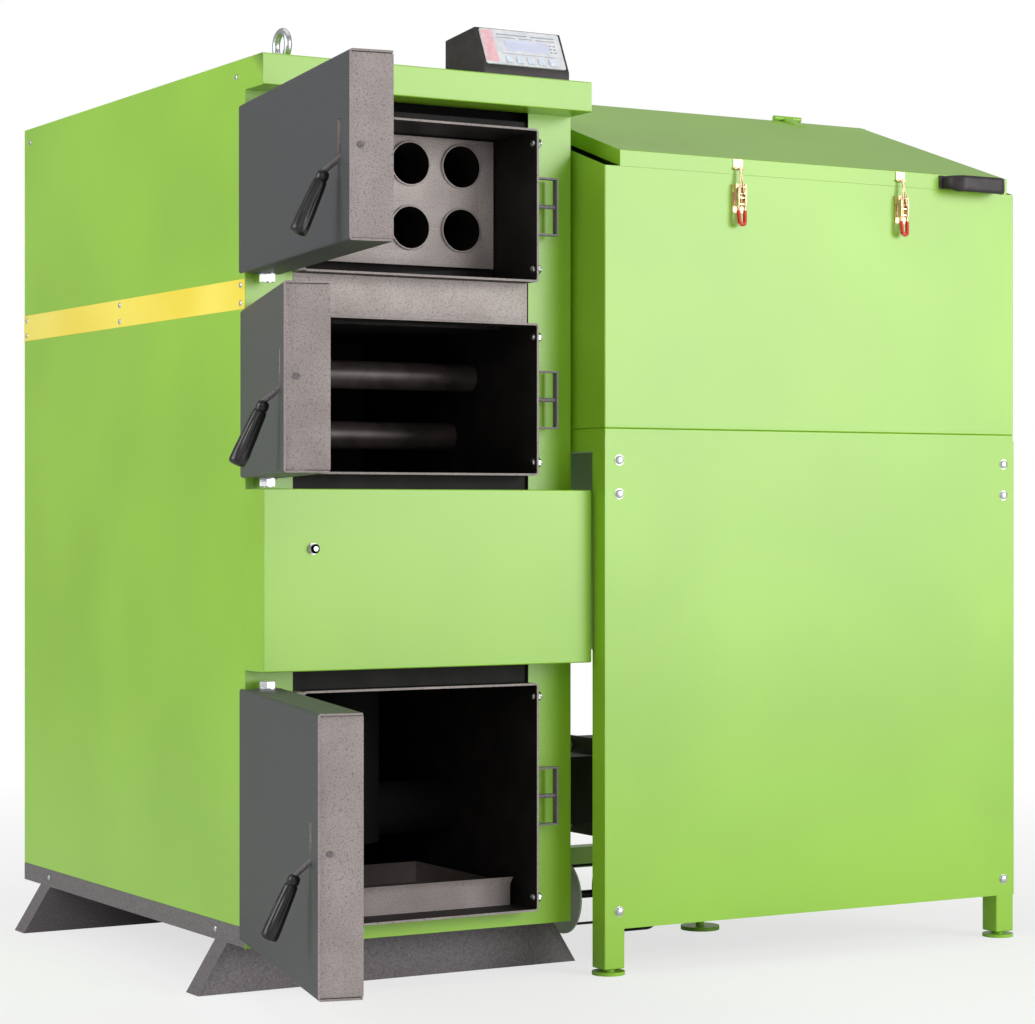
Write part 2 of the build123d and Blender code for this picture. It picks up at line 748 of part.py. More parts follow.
def make_door(name):
    """Folded door shell: C-section plate with a separate plate closing its free edge."""
    plane = door_plane(name)
    height = door_high(name) - door_low(name)
    face = door_face
    rear = door_rear
    start = door_start
    end = door_end
    pivot_w = latch_height(name) - door_low(name)
    pivot_v = face + latch_depth
    section = Plane(origin=plane.from_local_coords((start, 0, 0)), x_dir=plane.y_dir, z_dir=plane.x_dir)
    with BuildPart(plane) as shell:
        with BuildSketch(section):
            with Locations(((face + rear) / 2, height / 2)):
                RectangleRounded(rear - face, height, fold_radius)
            with Locations((rear / 2, height / 2)):
                Rectangle(rear, height)
            with Locations(((face + door_steel + rear + 1) / 2, height / 2)):
                Rectangle(rear + 1 - face - door_steel, height - 2 * door_steel, mode=Mode.SUBTRACT)
        extrude(amount=door_width)
        with BuildSketch(plane):
            with Locations(((start - 1) / 2, (face + door_steel + rear + 1) / 2)):
                Rectangle(1 - start, rear + 1 - face - door_steel)
            Circle(hinge_corner_radius, mode=Mode.SUBTRACT)
        extrude(amount=height, mode=Mode.SUBTRACT)
        block((end - edge_inset - door_steel, face + door_steel, door_steel + 1),
              (end - edge_inset, rear + edge_proud, height - door_steel - 1))
        bracket = latch_from_hinge - slot_width
        block((bracket - door_steel, face + door_steel, pivot_w - 25),
              (bracket, pivot_v + 16, pivot_w + 25))
        rod_x(bracket - 10, end + 5, pivot_v, pivot_w, latch_pin_radius + latch_fit, Mode.SUBTRACT)
        block((latch_from_hinge - slot_width / 2, face - 1, pivot_w - slot_below),
              (latch_from_hinge + slot_width / 2, face + door_steel + 1,
               pivot_w + slot_above), Mode.SUBTRACT)
        rod_z(0, 0, -1, height + 1, hinge_bolt_radius + hinge_fit, Mode.SUBTRACT)
    save(shell, f"{name}_door_shell")


def bar(start, end, radius, mode=Mode.ADD):
    """Add or cut a round bar between two points."""
    way = Vector(*end) - Vector(*start)
    with Locations(Plane(origin=start, z_dir=way.normalized())):
        Cylinder(radius, way.length, align=(Align.CENTER, Align.CENTER, Align.MIN), mode=mode)


def frame_in_door(name, grow=0.0):
    """The frame's outer outline in the closed door's own coordinates, grown on all sides."""
    u0 = frame_left - axis_x
    w0 = door_laps_low[name]
    return u0 - grow, u0 + frame_width + grow, w0 - grow, w0 + frame_heights[name] + grow


def make_lining(name):
    """Insulating board inside a door, stepped to fit inside the rope seal."""
    u0, u1, w0, w1 = frame_in_door(name, seal_lap)
    inner = seal_width + board_gap
    with BuildPart(door_plane(name)) as lining:
        block((u0, door_face + door_steel, w0), (u1, seal_front, w1))
        block((u0 + inner, seal_front, w0 + inner), (u1 - inner, hinge_standoff - frame_reach - 1,
                                                     w1 - inner))
    save(lining, f"{name}_door_lining")


def make_seal(name):
    """Square rope seal that meets the frame's rim when the door is closed."""
    u0, u1, w0, w1 = frame_in_door(name, seal_lap)
    with BuildPart(door_plane(name)) as seal:
        block((u0, seal_front, w0), (u1, seal_rear, w1))
        block((u0 + seal_width, seal_front - 1, w0 + seal_width),
              (u1 - seal_width, seal_rear + 1, w1 - seal_width), Mode.SUBTRACT)
    save(seal, f"{name}_door_seal")


def latch_points(name):
    """Latch pin, bend and handle end in the door's own coordinates."""
    w = latch_height(name) - door_low(name)
    pin = (latch_from_hinge, door_face + latch_depth, w)
    bend = (latch_from_hinge, door_face - bend_out, w - bend_drop)
    lean = radians(handle_lean)
    way = (0.0, -sin(lean), -cos(lean))
    end = tuple(b + handle_length * k for b, k in zip(bend, way))
    return pin, bend, way, end


def make_lever(name):
    """Latch lever: cross pin, hub, bent rod for the handle and the hook behind the keeper pin."""
    plane = door_plane(name)
    pin, bend, way, end = latch_points(name)
    reach = hinge_standoff - keeper_from_front - pin[1]
    inner = reach + keeper_pin_radius + hook_gap
    outer = inner + hook_wall
    hook_plane = Plane(origin=plane.from_local_coords((pin[0] - hook_thickness / 2, pin[1], pin[2])),
                       x_dir=plane.y_dir, z_dir=plane.x_dir)

    def polar(radius, angle):
        return radius * cos(radians(angle)), radius * sin(radians(angle))

    with BuildPart(plane) as lever:
        rod_x(pin[0] - slot_width - door_steel - 1, door_end - edge_inset + 1.5, pin[1], pin[2],
              latch_pin_radius)
        rod_x(pin[0] - hook_thickness / 2 - 2, pin[0] + hook_thickness / 2 + 2, pin[1], pin[2], 12)
        bar(pin, bend, rod_radius)
        with Locations(bend):
            Sphere(rod_radius)
        bar(bend, tuple(b + (handle_length - 20) * k for b, k in zip(bend, way)), rod_radius)
        with BuildSketch(hook_plane):
            with BuildLine():
                Line(polar(8, -14), polar(inner, -14))
                ThreePointArc(polar(inner, -14), polar(inner, -3), polar(inner, 8))
                Line(polar(inner, 8), polar(outer, 8))
                ThreePointArc(polar(outer, 8), polar(outer, -12), polar(outer, -32))
                Line(polar(outer, -32), polar(8, -40))
                Line(polar(8, -40), polar(8, -14))
            make_face()
        extrude(amount=hook_thickness)
    save(lever, f"{name}_latch_lever")


def make_handle(name):
    """Tapered handle pressed on the end of the lever's rod."""
    pin, bend, way, end = latch_points(name)
    start = tuple(b + 2 * k for b, k in zip(bend, way))
    with BuildPart(door_plane(name)) as handle:
        with Locations(Plane(origin=start, z_dir=way)):
            Cone(handle_top_radius, handle_end_radius, handle_length - 8,
                 align=(Align.CENTER, Align.CENTER, Align.MIN))
        with Locations(Plane(origin=tuple(b + (handle_length - 6) * k for b, k in zip(bend, way)),
                             z_dir=way)):
            Cone(handle_end_radius, handle_end_radius - 5, 6, align=(Align.CENTER, Align.CENTER, Align.MIN))
        bar(bend, tuple(b + (handle_length - 19.8) * k for b, k in zip(bend, way)),
            rod_radius + latch_fit, Mode.SUBTRACT)
    save(handle, f"{name}_latch_handle")


def make_stand():
    """Square-tube stand of four posts, a ring of rails under the bin and two low cross rails."""
    with BuildPart() as stand:
        for x, y in post_places:
            block((x, y, post_foot), (x + post, y + post, bin_z0))
        block((hopper_x0, hopper_y0, bin_z0 - post), (hopper_x1, hopper_y1, bin_z0))
        block((hopper_x0 + post, hopper_y0 + post, bin_z0 - post - 1),
              (hopper_x1 - post, hopper_y1 - post, bin_z0 + 1), Mode.SUBTRACT)
        for y in (hopper_y0, hopper_y1 - post):
            block((hopper_x0, y, base), (hopper_x1, y + post, base + post))
        for x, y in post_places:
            block((x + post_wall, y + post_wall, post_foot + 5),
                  (x + post - post_wall, y + post - post_wall, bin_z0 - post_wall), Mode.SUBTRACT)
            rod_z(x + post / 2, y + post / 2, post_foot - 1, post_foot + 6, foot_stem + weld_gap,
                  Mode.SUBTRACT)
    save(stand, "hopper_stand")


def make_bin():
    """Sheet-metal fuel bin with sloping rim, fixed top behind the lid and funnel below."""
    t = bin_sheet
    with BuildPart() as bin_shell:
        with BuildSketch(Plane.YZ.offset(hopper_x0)):
            with BuildLine():
                Polyline((hopper_y0, bin_z0), (hopper_y1, bin_z0), (hopper_y1, bin_top),
                         (rim_y + 4, bin_top),
                         (rim_y + 4, rim_front_z + rim_rise), (hopper_y0, rim_front_z), close=True)
            make_face()
        extrude(amount=hopper_width)
        with BuildSketch(Plane.YZ.offset(hopper_x0 + t)):
            with BuildLine():
                Polyline((hopper_y0 + t, bin_z0 + t), (hopper_y1 - t, bin_z0 + t),
                         (hopper_y1 - t, bin_top - t),
                         (rim_y + 4 + t, bin_top - t), (rim_y + 4 + t, rim_front_z + rim_rise - 40),
                         (rim_y, rim_front_z + rim_rise - 40), (rim_y, rim_front_z + rim_rise + 10),
                         (hopper_y0 + t, rim_front_z + 10), close=True)
            make_face()
        extrude(amount=hopper_width - 2 * t, mode=Mode.SUBTRACT)
        for inset, mode in ((0.0, Mode.ADD), (t, Mode.SUBTRACT)):
            high = bin_z0 if mode == Mode.ADD else bin_z0 + t + 1
            with BuildSketch(Plane.XY.offset(high)):
                with Locations((hopper_x, hopper_y)):
                    Rectangle(hopper_width - 2 * (post + t + inset), hopper_depth - 2 * (post + t + inset))
            with BuildSketch(Plane.XY.offset(trough_z1 - (0 if mode == Mode.ADD else 1))):
                with Locations((hopper_x, hopper_y)):
                    Rectangle(outlet_size - 2 * inset, outlet_size - 2 * inset)
            loft(mode=mode)
    save(bin_shell, "hopper_bin")


def make_front_panel():
    """Flat panel over the front of the stand."""
    with BuildPart() as panel:
        block((hopper_x0, hopper_y0 - sheet, base + panel_low), (hopper_x1, hopper_y0, base + panel_high))
    save(panel, "hopper_front_panel")


def make_lid():
    """Sloping lid folded down on all sides, with the middle knuckles of its hinges."""
    t = sheet
    x0 = hopper_x0 + lid_side_gap
    x1 = hopper_x1 - lid_side_gap / 2
    with BuildPart() as lid:
        with BuildSketch(Plane.YZ.offset(x0)):
            with BuildLine():
                Polyline((hopper_y0, lid_z), (hopper_y0, lid_z + lid_skirt),
                         (rim_y, lid_z + rim_rise + lid_skirt),
                         (rim_y, lid_z + rim_rise), close=True)
            make_face()
        extrude(amount=x1 - x0)
        with BuildSketch(Plane.YZ.offset(x0 + t)):
            with BuildLine():
                Polyline((hopper_y0 + t, lid_z - 20), (hopper_y0 + t, lid_z + lid_skirt - t),
                         (rim_y - t, lid_z + rim_rise + lid_skirt - t), (rim_y - t,
                                                                         lid_z + rim_rise - 20), close=True)
            make_face()
        extrude(amount=x1 - x0 - 2 * t, mode=Mode.SUBTRACT)
        for x in lid_hinge_xs:
            rod_x(x - lid_knuckle / 2, x + lid_knuckle / 2, hinge_y, hinge_z, lid_hinge_radius)
            with BuildSketch(Plane.YZ.offset(x - lid_knuckle / 2)):
                with BuildLine():
                    Polyline((hinge_y - 60,
                              lid_z + rim_rise + lid_skirt - 60 * tan(radians(rim_slope)) - 1),
                             (hinge_y - 60,
                              lid_z + rim_rise + lid_skirt - 60 * tan(radians(rim_slope)) + 2),
                             (hinge_y, hinge_z + 3), (hinge_y, hinge_z - 3),
                             (hinge_y - 4, lid_z + rim_rise + lid_skirt - 2), close=True)
                make_face()
            extrude(amount=lid_knuckle)
            rod_x(x - lid_knuckle, x + lid_knuckle, hinge_y, hinge_z, lid_pin_radius + latch_fit,
                  Mode.SUBTRACT)
    save(lid, "hopper_lid")


def make_lid_hinges():
    """Outer knuckles, pins and leaves of the lid hinges, fixed to the bin's top."""
    with BuildPart() as hinges:
        for x in lid_hinge_xs:
            inner = lid_knuckle / 2 + running_gap
            for side in (-1, 1):
                ends = sorted((x + side * inner, x + side * (inner + lid_knuckle)))
                rod_x(ends[0], ends[1], hinge_y, hinge_z, lid_hinge_radius)
                block((ends[0], hinge_y, bin_top), (ends[1], hinge_y + 40, bin_top + 2))
                block((ends[0], hinge_y + 2.5, bin_top), (ends[1], hinge_y + 6, hinge_z))
            rod_x(x - inner - lid_knuckle, x + inner + lid_knuckle, hinge_y, hinge_z, lid_pin_radius)
    save(hinges, "lid_hinges")


def make_lid_handle():
    """Deep bow handle on the lid's front skirt."""
    outer, inner = [hopper_x1 - inset for inset in bow_insets]
    width = inner - outer + bow_bar
    with BuildPart() as bow:
        with BuildSketch(Plane.XY.offset(lid_z + 1)):
            with Locations(((outer + inner) / 2, hopper_y0)):
                RectangleRounded(width, 2 * bow_reach, bow_bar)
                RectangleRounded(width - 2 * bow_bar, 2 * (bow_reach - bow_bar), bow_bar / 2,
                                 mode=Mode.SUBTRACT)
            with Locations(((outer + inner) / 2, hopper_y0 + bow_reach)):
                Rectangle(width + 1, 2 * bow_reach, mode=Mode.SUBTRACT)
        extrude(amount=bow_height)
    save(bow, "lid_handle")


def make_toggle_bases():
    """Base plates of the toggle latches on the bin's front, with ears and pivot pins."""
    y_pin = hopper_y0 - toggle_pivot[0]
    z_pin = rim_front_z - toggle_pivot[1]
    with BuildPart() as bases:
        for place in toggle_places:
            x = hopper_x0 + place
            block((x - 15, hopper_y0 - 2, z_pin - 55), (x + 15, hopper_y0, z_pin + 6))
            for side in (-1, 1):
                ends = sorted((x + side * (lever_half + 2), x + side * (lever_half + 4)))
                block((ends[0], y_pin - 5, z_pin - 12), (ends[1], hopper_y0, z_pin + 6))
            rod_x(x - lever_half - 4, x + lever_half + 4, y_pin, z_pin, toggle_pin)
    save(bases, "toggle_bases")


def make_strikes():
    """Hooked strike plates on the lid's skirt."""
    z = lid_z + lid_skirt
    with BuildPart() as strikes:
        for place in toggle_places:
            x = hopper_x0 + place
            block((x - strike_half, hopper_y0 - 2, z - 22), (x + strike_half, hopper_y0, z - 2))
            rod_x(x - strike_half, x + strike_half, hopper_y0 - 4, z - 22, 2.5)
    save(strikes, "latch_strikes")


def make_toggle_lever(name, place):
    """Toggle lever of two side bars joined by a looped handle and the bail's pin."""
    x = hopper_x0 + place
    y_pin = hopper_y0 - toggle_pivot[0]
    z_pin = rim_front_z - toggle_pivot[1]
    y_bail = hopper_y0 - bail_pivot[0]
    z_bail = rim_front_z - bail_pivot[1]
    with BuildPart() as lever:
        for side in (-1, 1):
            ends = sorted((x + side * (lever_half - 1), x + side * (lever_half + 1)))
            block((ends[0], y_bail - 4, z_pin - 42), (ends[1], y_pin + 4, z_pin - 3))
            rod_x(ends[0], ends[1], y_pin, z_pin, lever_hub)
            bar((x + side * lever_half, y_bail, z_pin - 40), (x + side * 6, y_bail - 4,
                                                              z_pin - lever_drop), 3.2)
        rod_x(x - 6, x + 6, y_bail - 4, z_pin - lever_drop, 3.2)
        for side in (-1, 1):
            with Locations((x + side * 6, y_bail - 4, z_pin - lever_drop)):
                Sphere(3.2)
        rod_x(x - lever_half, x + lever_half, y_bail, z_bail, toggle_pin)
        rod_x(x - 20, x + 20, y_pin, z_pin, toggle_pin + latch_fit, Mode.SUBTRACT)
    save(lever, f"{name}_toggle_lever")


def make_toggle_bail(name, place):
    """Triangular wire bail that swings on the toggle lever."""
    x = hopper_x0 + place
    y = hopper_y0 - bail_pivot[0]
    z = rim_front_z - bail_pivot[1]
    apex = (x, y + 3, z + bail_height)
    with BuildPart() as bail:
        for side in (-1, 1):
            ends = sorted((x + side * 3.5, x + side * 7))
            rod_x(ends[0], ends[1], y, z, 4.2)
            bar((x + side * 5.2, y - 3, z), apex, bail_wire)
        with Locations(apex):
            Sphere(bail_wire)
        rod_x(x - 10, x + 10, y, z, toggle_pin + latch_fit, Mode.SUBTRACT)
    save(bail, f"{name}_toggle_bail")


def make_feet():
    """Levelling feet of the stand and the larger foot under the feeder."""
    with BuildPart() as feet:
        for x, y in post_places:
            rod_z(x + post / 2, y + post / 2, 0, foot_disc, foot_radius)
            rod_z(x + post / 2, y + post / 2, foot_disc - 1, post_foot + 30, foot_stem)
            rod_z(x + post / 2, y + post / 2, foot_disc, post_foot, foot_stem + 6)
        rod_z(hopper_x, hopper_y, 0, foot_disc + 2, feeder_foot_radius)
        rod_z(hopper_x, hopper_y, foot_disc, trough_z0, foot_stem + 2)
    save(feet, "levelling_feet")


def make_hopper_bolts():
    """Button-head bolts of the front panel and the nuts on the feeder's flange."""
    y = hopper_y0 - sheet
    with BuildPart() as bolts:
        for x in (hopper_x0 + 35, hopper_x1 - 31):
            for z in (base + 977, base + 906, base + 31):
                rod_y(x, y - 4, y, z, 9)
                rod_y(x, y - 6, y - 4, z, 6)
        for y_side in (-1, 1):
            for z in (trough_z0 + 22, trough_z1 - 22):
                with BuildSketch(Plane.YZ.offset(trough_x0)):
                    with Locations((feed_y + y_side * (trough_width / 2 + 12), z)):
                        RegularPolygon(9, 6, major_radius=False)
                extrude(amount=-12)
    save(bolts, "hopper_bolts")


def make_auger_tube():
    """Feed tube from the hopper's trough to the burner, with the black air box around it."""
    x0 = feed_tube_start
    half = trough_width / 2
    with BuildPart() as tube:
        rod_x(x0, trough_x0 + 6, feed_y, feed_z, feed_tube_outer / 2)
        with BuildSketch(Plane.XZ.offset(-(feed_y - 90))):
            with Locations((right + 8 + (trough_x0 - right) / 2 - 6, feed_z + 24)):
                RectangleRounded(trough_x0 - right - 24, 150, 30)
        extrude(amount=-180)
        block((trough_x0, feed_y - half - 25, trough_z0), (trough_x0 + 12, feed_y + half + 25, trough_z1))
        block((trough_x0, feed_y - half, trough_z0), (trough_x1, feed_y + half, trough_z1))
        block((trough_x0 + 12, feed_y - half + 4, trough_z0 + 4),
              (trough_x1 - 8, feed_y + half - 4, trough_z1 - 4), Mode.SUBTRACT)
        block((hopper_x - outlet_size / 2 + 4, feed_y - half + 4, trough_z1 - 5),
              (hopper_x + outlet_size / 2 - 4, feed_y + half - 4, trough_z1 + 1), Mode.SUBTRACT)
        rod_x(x0 - 1, trough_x0 + 13, feed_y, feed_z, feed_tube_outer / 2 - feed_tube_wall, Mode.SUBTRACT)
        rod_x(trough_x1 - 9, trough_x1 + 1, feed_y, feed_z, screw_core + weld_gap, Mode.SUBTRACT)
    save(tube, "auger_tube")


def make_screw():
    """Feed screw: round core with one continuous flight."""
    x0 = cavity_half + plate + 10
    x1 = trough_x1 - 20
    turns = (x1 - x0) / screw_pitch
    with BuildPart() as screw:
        helix = Helix(screw_pitch, turns * screw_pitch, (screw_radius + screw_core) / 2,
                      center=(x0, feed_y, feed_z), direction=(1, 0, 0), mode=Mode.PRIVATE)
        start = helix @ 0
        out = (start - Vector(x0, feed_y, feed_z)).normalized()
        with BuildSketch(Plane(origin=start, x_dir=out, z_dir=helix % 0)):
            Rectangle(screw_radius - screw_core + 2, flight)
        sweep(path=helix, is_frenet=True)
        rod_x(x0, trough_x1 + 60, feed_y, feed_z, screw_core)
    save(screw, "auger_screw")


def make_gear_motor():
    """Gearbox and motor that turn the feed screw."""
    x0 = trough_x1
    with BuildPart() as motor:
        block((x0, feed_y - 62, feed_z - 70), (x0 + 95, feed_y + 62, feed_z + 70))
        rod_x(x0 + 95, x0 + 95 + 20, feed_y, feed_z, 60)
        rod_x(x0 + 115, x0 + motor_length, feed_y, feed_z, 68)
        rod_x(x0 + motor_length, x0 + motor_length + 30, feed_y, feed_z, 62)
        block((x0 + 140, feed_y - 40, feed_z + 60), (x0 + 220, feed_y + 40, feed_z + 95))
        rod_x(x0 - 1, x0 + 61, feed_y, feed_z, screw_core + latch_fit, Mode.SUBTRACT)
    save(motor, "gear_motor")


def make_fan():
    """Combustion fan: round housing with motor, duct to the trough, and a noise disc on rods."""
    disc_x = right + fan_disc_gap
    with BuildPart() as fan:
        rod_x(fan_x0, fan_x1, feed_y, fan_z, fan_radius)
        block((fan_x0 + 10, feed_y - 35, fan_z + 40), (fan_x1 - 10, feed_y + 35, trough_z0))
        rod_x(fan_x0 + 3, fan_x1 - 3, feed_y, fan_z, fan_radius - 3, Mode.SUBTRACT)
        block((fan_x0 + 13, feed_y - 32, fan_z + 40), (fan_x1 - 13, feed_y + 32, trough_z0 - 3),
              Mode.SUBTRACT)
        rod_x(fan_x1, fan_x1 + 100, feed_y, fan_z, 52)
        rod_x(fan_x1 + 100, fan_x1 + 125, feed_y, fan_z, 46)
        for k in range(6):
            angle = radians(60 * k + 30)
            rod_x(fan_x0 - 1, fan_x0 + 4, feed_y + 45 * cos(angle), fan_z + 45 * sin(angle), 16,
                  Mode.SUBTRACT)
        rod_x(disc_x, disc_x + 4, feed_y, fan_z, fan_disc_radius)
        rod_x(disc_x + 4, fan_x0, feed_y, fan_z, 9)
        for z in (-66, 66):
            rod_x(disc_x + 4, fan_x0, feed_y, fan_z + z, 3)
        rod_x(fan_x1 - 4, fan_x1 + 40, feed_y, fan_z, impeller_shaft + latch_fit, Mode.SUBTRACT)
    save(fan, "fan_housing")


def make_impeller():
    """Fan wheel with straight blades on a round back plate."""
    with BuildPart() as wheel:
        rod_x(fan_x1 - 12, fan_x1 - 9, feed_y, fan_z, impeller_radius)
        rod_x(fan_x1 - 30, fan_x1 - 9, feed_y, fan_z, 14)
        rod_x(fan_x1 - 10, fan_x1 + 38, feed_y, fan_z, impeller_shaft)
        with Locations(Plane(origin=(fan_x1 - 12, feed_y, fan_z), x_dir=(0, 1, 0), z_dir=(-1, 0, 0))):
            with PolarLocations((impeller_radius + 38) / 2 - 1, blade_count):
                Box(impeller_radius - 40, 2, 44, align=(Align.CENTER, Align.CENTER, Align.MIN))
    save(wheel, "fan_impeller")


def button_centres():
    """Button places on the controller's face."""
    middle = controller_width / 2 + 12
    return [(middle + button_pitch * (i - (button_count - 1) / 2), button_row) for i in range(button_count)]


def make_controller():
    """Controller housing with a sloping front, and the face plate laid on it."""
    with BuildPart() as case:
        with BuildSketch(Plane.YZ.offset(case_x0)):
            with BuildLine():
                Polyline((case_y0, top), (case_y0, top + case_lip),
                         (case_y0 + controller_slope, top + controller_height),
                         (case_y0 + controller_depth, top + controller_height - 12),
                         (case_y0 + controller_depth, top), close=True)
            make_face()
        extrude(amount=controller_width)
        for x, y in button_centres():
            with BuildSketch(face_plane):
                with Locations((x, y)):
                    Rectangle(button_size + 2, button_size + 2)
            extrude(amount=-button_pocket, mode=Mode.SUBTRACT)
    save(case, "controller_case")
    with BuildPart() as face:
        with BuildSketch(face_plane):
            with Locations((controller_width / 2, face_length / 2)):
                RectangleRounded(controller_width - 2 * face_margin, face_length - 2 * face_margin + 8, 4)
            for x, y in button_centres():
                with Locations((x, y)):
                    Rectangle(button_size + 2 * button_fit, button_size + 2 * button_fit,
                              mode=Mode.SUBTRACT)
        extrude(amount=face_thickness)
    save(face, "controller_face")


def make_button(number, centre):
    """Square push button that stands through the face plate."""
    with BuildPart() as button:
        with BuildSketch(face_plane.offset(-button_pocket + button_travel + 0.5)):
            with Locations(centre):
                RectangleRounded(button_size, button_size, 2)
        extrude(amount=button_pocket - button_travel - 0.5 + face_thickness + button_rise)
    save(button, f"controller_button_{number}")


def make_boiler():
    """All pieces of the boiler itself."""
    make_body()
    make_frames()
    make_tubes()
    make_side_panel("left_panel", -1)
    make_side_panel("right_panel", 1)
    make_rear_panel()
    make_top_cover()
    make_middle_cover()
    make_base()
    make_stripe()
    make_casing_screws()
    make_frame_bolts()
    make_hinge_bolts()
    make_keepers()
    make_eye_bolts()
    make_insulation()
    make_rear_connections()
    make_retort()
    make_ash_pan()
    make_controller()
    for number, centre in enumerate(button_centres(), 1):
        make_button(number, centre)
    for name in door_names:
        make_door(name)
        make_lining(name)
        make_seal(name)
        make_lever(name)
        make_handle(name)


def make_hopper():
    """All pieces of the hopper and the feeder below it."""
    make_stand()
    make_bin()
    make_front_panel()
    make_lid()
    make_lid_hinges()
    make_lid_handle()
    make_toggle_bases()
    make_strikes()
    for name, place in zip(toggle_names, toggle_places):
        make_toggle_lever(name, place)
        make_toggle_bail(name, place)
    make_feet()
    make_hopper_bolts()
    make_auger_tube()
    make_screw()
    make_gear_motor()
    make_fan()
    make_impeller()


os.makedirs("parts", exist_ok=True)
make_boiler()
make_hopper()
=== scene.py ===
import json
from collections import namedtuple
from math import cos, pi, radians, sin

import bmesh
import bpy
from bpy.props import FloatProperty, FloatVectorProperty, IntProperty, PointerProperty
from mathutils import Matrix, Vector


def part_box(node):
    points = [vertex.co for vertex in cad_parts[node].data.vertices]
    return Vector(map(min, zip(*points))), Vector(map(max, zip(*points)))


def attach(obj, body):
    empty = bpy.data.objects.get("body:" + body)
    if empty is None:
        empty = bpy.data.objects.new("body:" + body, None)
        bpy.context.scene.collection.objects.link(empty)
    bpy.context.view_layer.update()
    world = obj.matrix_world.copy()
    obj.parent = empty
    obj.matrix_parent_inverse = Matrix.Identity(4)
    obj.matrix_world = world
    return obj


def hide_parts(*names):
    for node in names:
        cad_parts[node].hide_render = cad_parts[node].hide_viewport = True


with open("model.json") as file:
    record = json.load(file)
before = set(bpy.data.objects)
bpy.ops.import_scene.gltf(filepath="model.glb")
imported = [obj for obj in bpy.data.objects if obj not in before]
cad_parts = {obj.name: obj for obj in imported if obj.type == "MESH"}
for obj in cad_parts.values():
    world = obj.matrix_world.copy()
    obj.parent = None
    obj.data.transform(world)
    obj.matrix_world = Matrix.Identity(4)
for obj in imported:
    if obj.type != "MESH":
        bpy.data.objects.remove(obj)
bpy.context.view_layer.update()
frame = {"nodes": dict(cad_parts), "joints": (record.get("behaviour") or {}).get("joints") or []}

bl_info = {
    "name": "Pellet boiler dressing",
    "version": (1, 0, 0),
    "blender": (4, 5, 0),
    "location": "View3D > Sidebar > Boiler",
    "description": "Finishes, fasteners and small fittings of a pellet boiler and its hopper",
    "category": "Object",
}

MM = 0.001

# Places in millimetres, in the frame of the CAD model
LEFT, RIGHT = -380.0, 380.0
FRONT, BACK = -115.0, 1118.0
BASE, TOP = 103.0, 1874.0
HINGE = (-346.0, -148.0)
FRAME_LOWS = {"upper": 1452.0, "middle": 1047.0, "lower": 135.5}
FRAME_HEIGHTS = {"upper": 321.0, "middle": 319.0, "lower": 477.5}
DOOR_LAPS = {"upper": 7.5, "middle": 8.5, "lower": 17.0}
DOORS = ("upper", "middle", "lower")
HOPPER_X0, HOPPER_X1 = 387.0, 1492.5
HOPPER_Y0 = -239.0
RIM_Z = 1696.5
TOGGLES = {"left": 725.0, "right": 1165.0}
FEED_Y, FEED_Z = 221.0, 326.0
FASTENER_SEED = 7
COVER_PROUD = 84.5
STRIPE_Z = (1375.0, 1435.0)
FLANGE_X = 638.0
NOISE_DISC_X = 559.7
# Where a latch lever takes its grip: along the door, in front of it, below the pivot, and the grip's lean
GRIP_ALONG, GRIP_FRONT, GRIP_DROP, GRIP_LEAN = 646.0, -77.5, 41.0, 24.0
# Outline of a grip: distance along it and radius
GRIP_PROFILE = [(1, 6.0), (2, 8.4), (4, 10.2), (7, 11.2), (14, 11.8), (16, 10.6), (18, 10.5), (20, 12.2),
                (24, 12.8), (40, 13.6), (60, 14.5), (80, 15.3), (100, 16.0), (110, 16.2), (116, 16.2),
                (120, 15.2), (122.5, 12.8), (123.6, 9.0), (124, 4.0)]
# How white the room is in reflections, beside its own grey
GLOSSY_SHARE = 0.1
# Area lamps: name, place, aim, width, height in metres, and power in watts
LAMPS = (
    ("front_softbox", (4.4, -6.4, 2.5), (0.9, -0.2, 1.1), 4.8, 4.4, 360),
    ("side_softbox", (-6.0, 0.2, 3.2), (-0.4, 0.4, 1.0), 3.6, 3.2, 215),
    ("top_softbox", (0.6, 0.4, 5.4), (0.6, 0.4, 1.0), 4.5, 4.0, 45),
    ("camera_fill", (-3.4, -6.2, 3.2), (0.2, -0.2, 1.0), 2.4, 2.4, 45))


def linear(text, alpha=1.0):
    """Turn an sRGB hex colour into linear values."""
    parts = [int(text[i:i + 2], 16) / 255 for i in (1, 3, 5)]
    return tuple(p / 12.92 if p <= 0.04045 else ((p + 0.055) / 1.055) ** 2.4 for p in parts) + (alpha,)


def add(tree, kind, values=None, links=None, **settings):
    """Add one node with its settings, socket values and incoming links."""
    node = tree.nodes.new(kind)
    for key, value in settings.items():
        setattr(node, key, value)
    for key, value in (values or {}).items():
        node.inputs[key].default_value = value
    for key, source in (links or {}).items():
        tree.links.new(source, node.inputs[key])
    return node


def start(name, roughness, metallic=0.0, **sockets):
    """Begin a material: its tree, its main shader and the object coordinates."""
    material = bpy.data.materials.new(name)
    material.use_nodes = True
    tree = material.node_tree
    shader = tree.nodes["Principled BSDF"]
    shader.inputs["Roughness"].default_value = roughness
    shader.inputs["Metallic"].default_value = metallic
    for key, value in sockets.items():
        shader.inputs[key.replace("_", " ")].default_value = value
    place = add(tree, "ShaderNodeTexCoord").outputs["Object"]
    return material, tree, shader, place


def relief(tree, shader, height, strength, depth):
    """Give the surface a bump from a height pattern; depth is in metres."""
    bump = add(tree, "ShaderNodeBump", {"Strength": strength, "Distance": depth}, {"Height": height})
    tree.links.new(bump.outputs["Normal"], shader.inputs["Normal"])


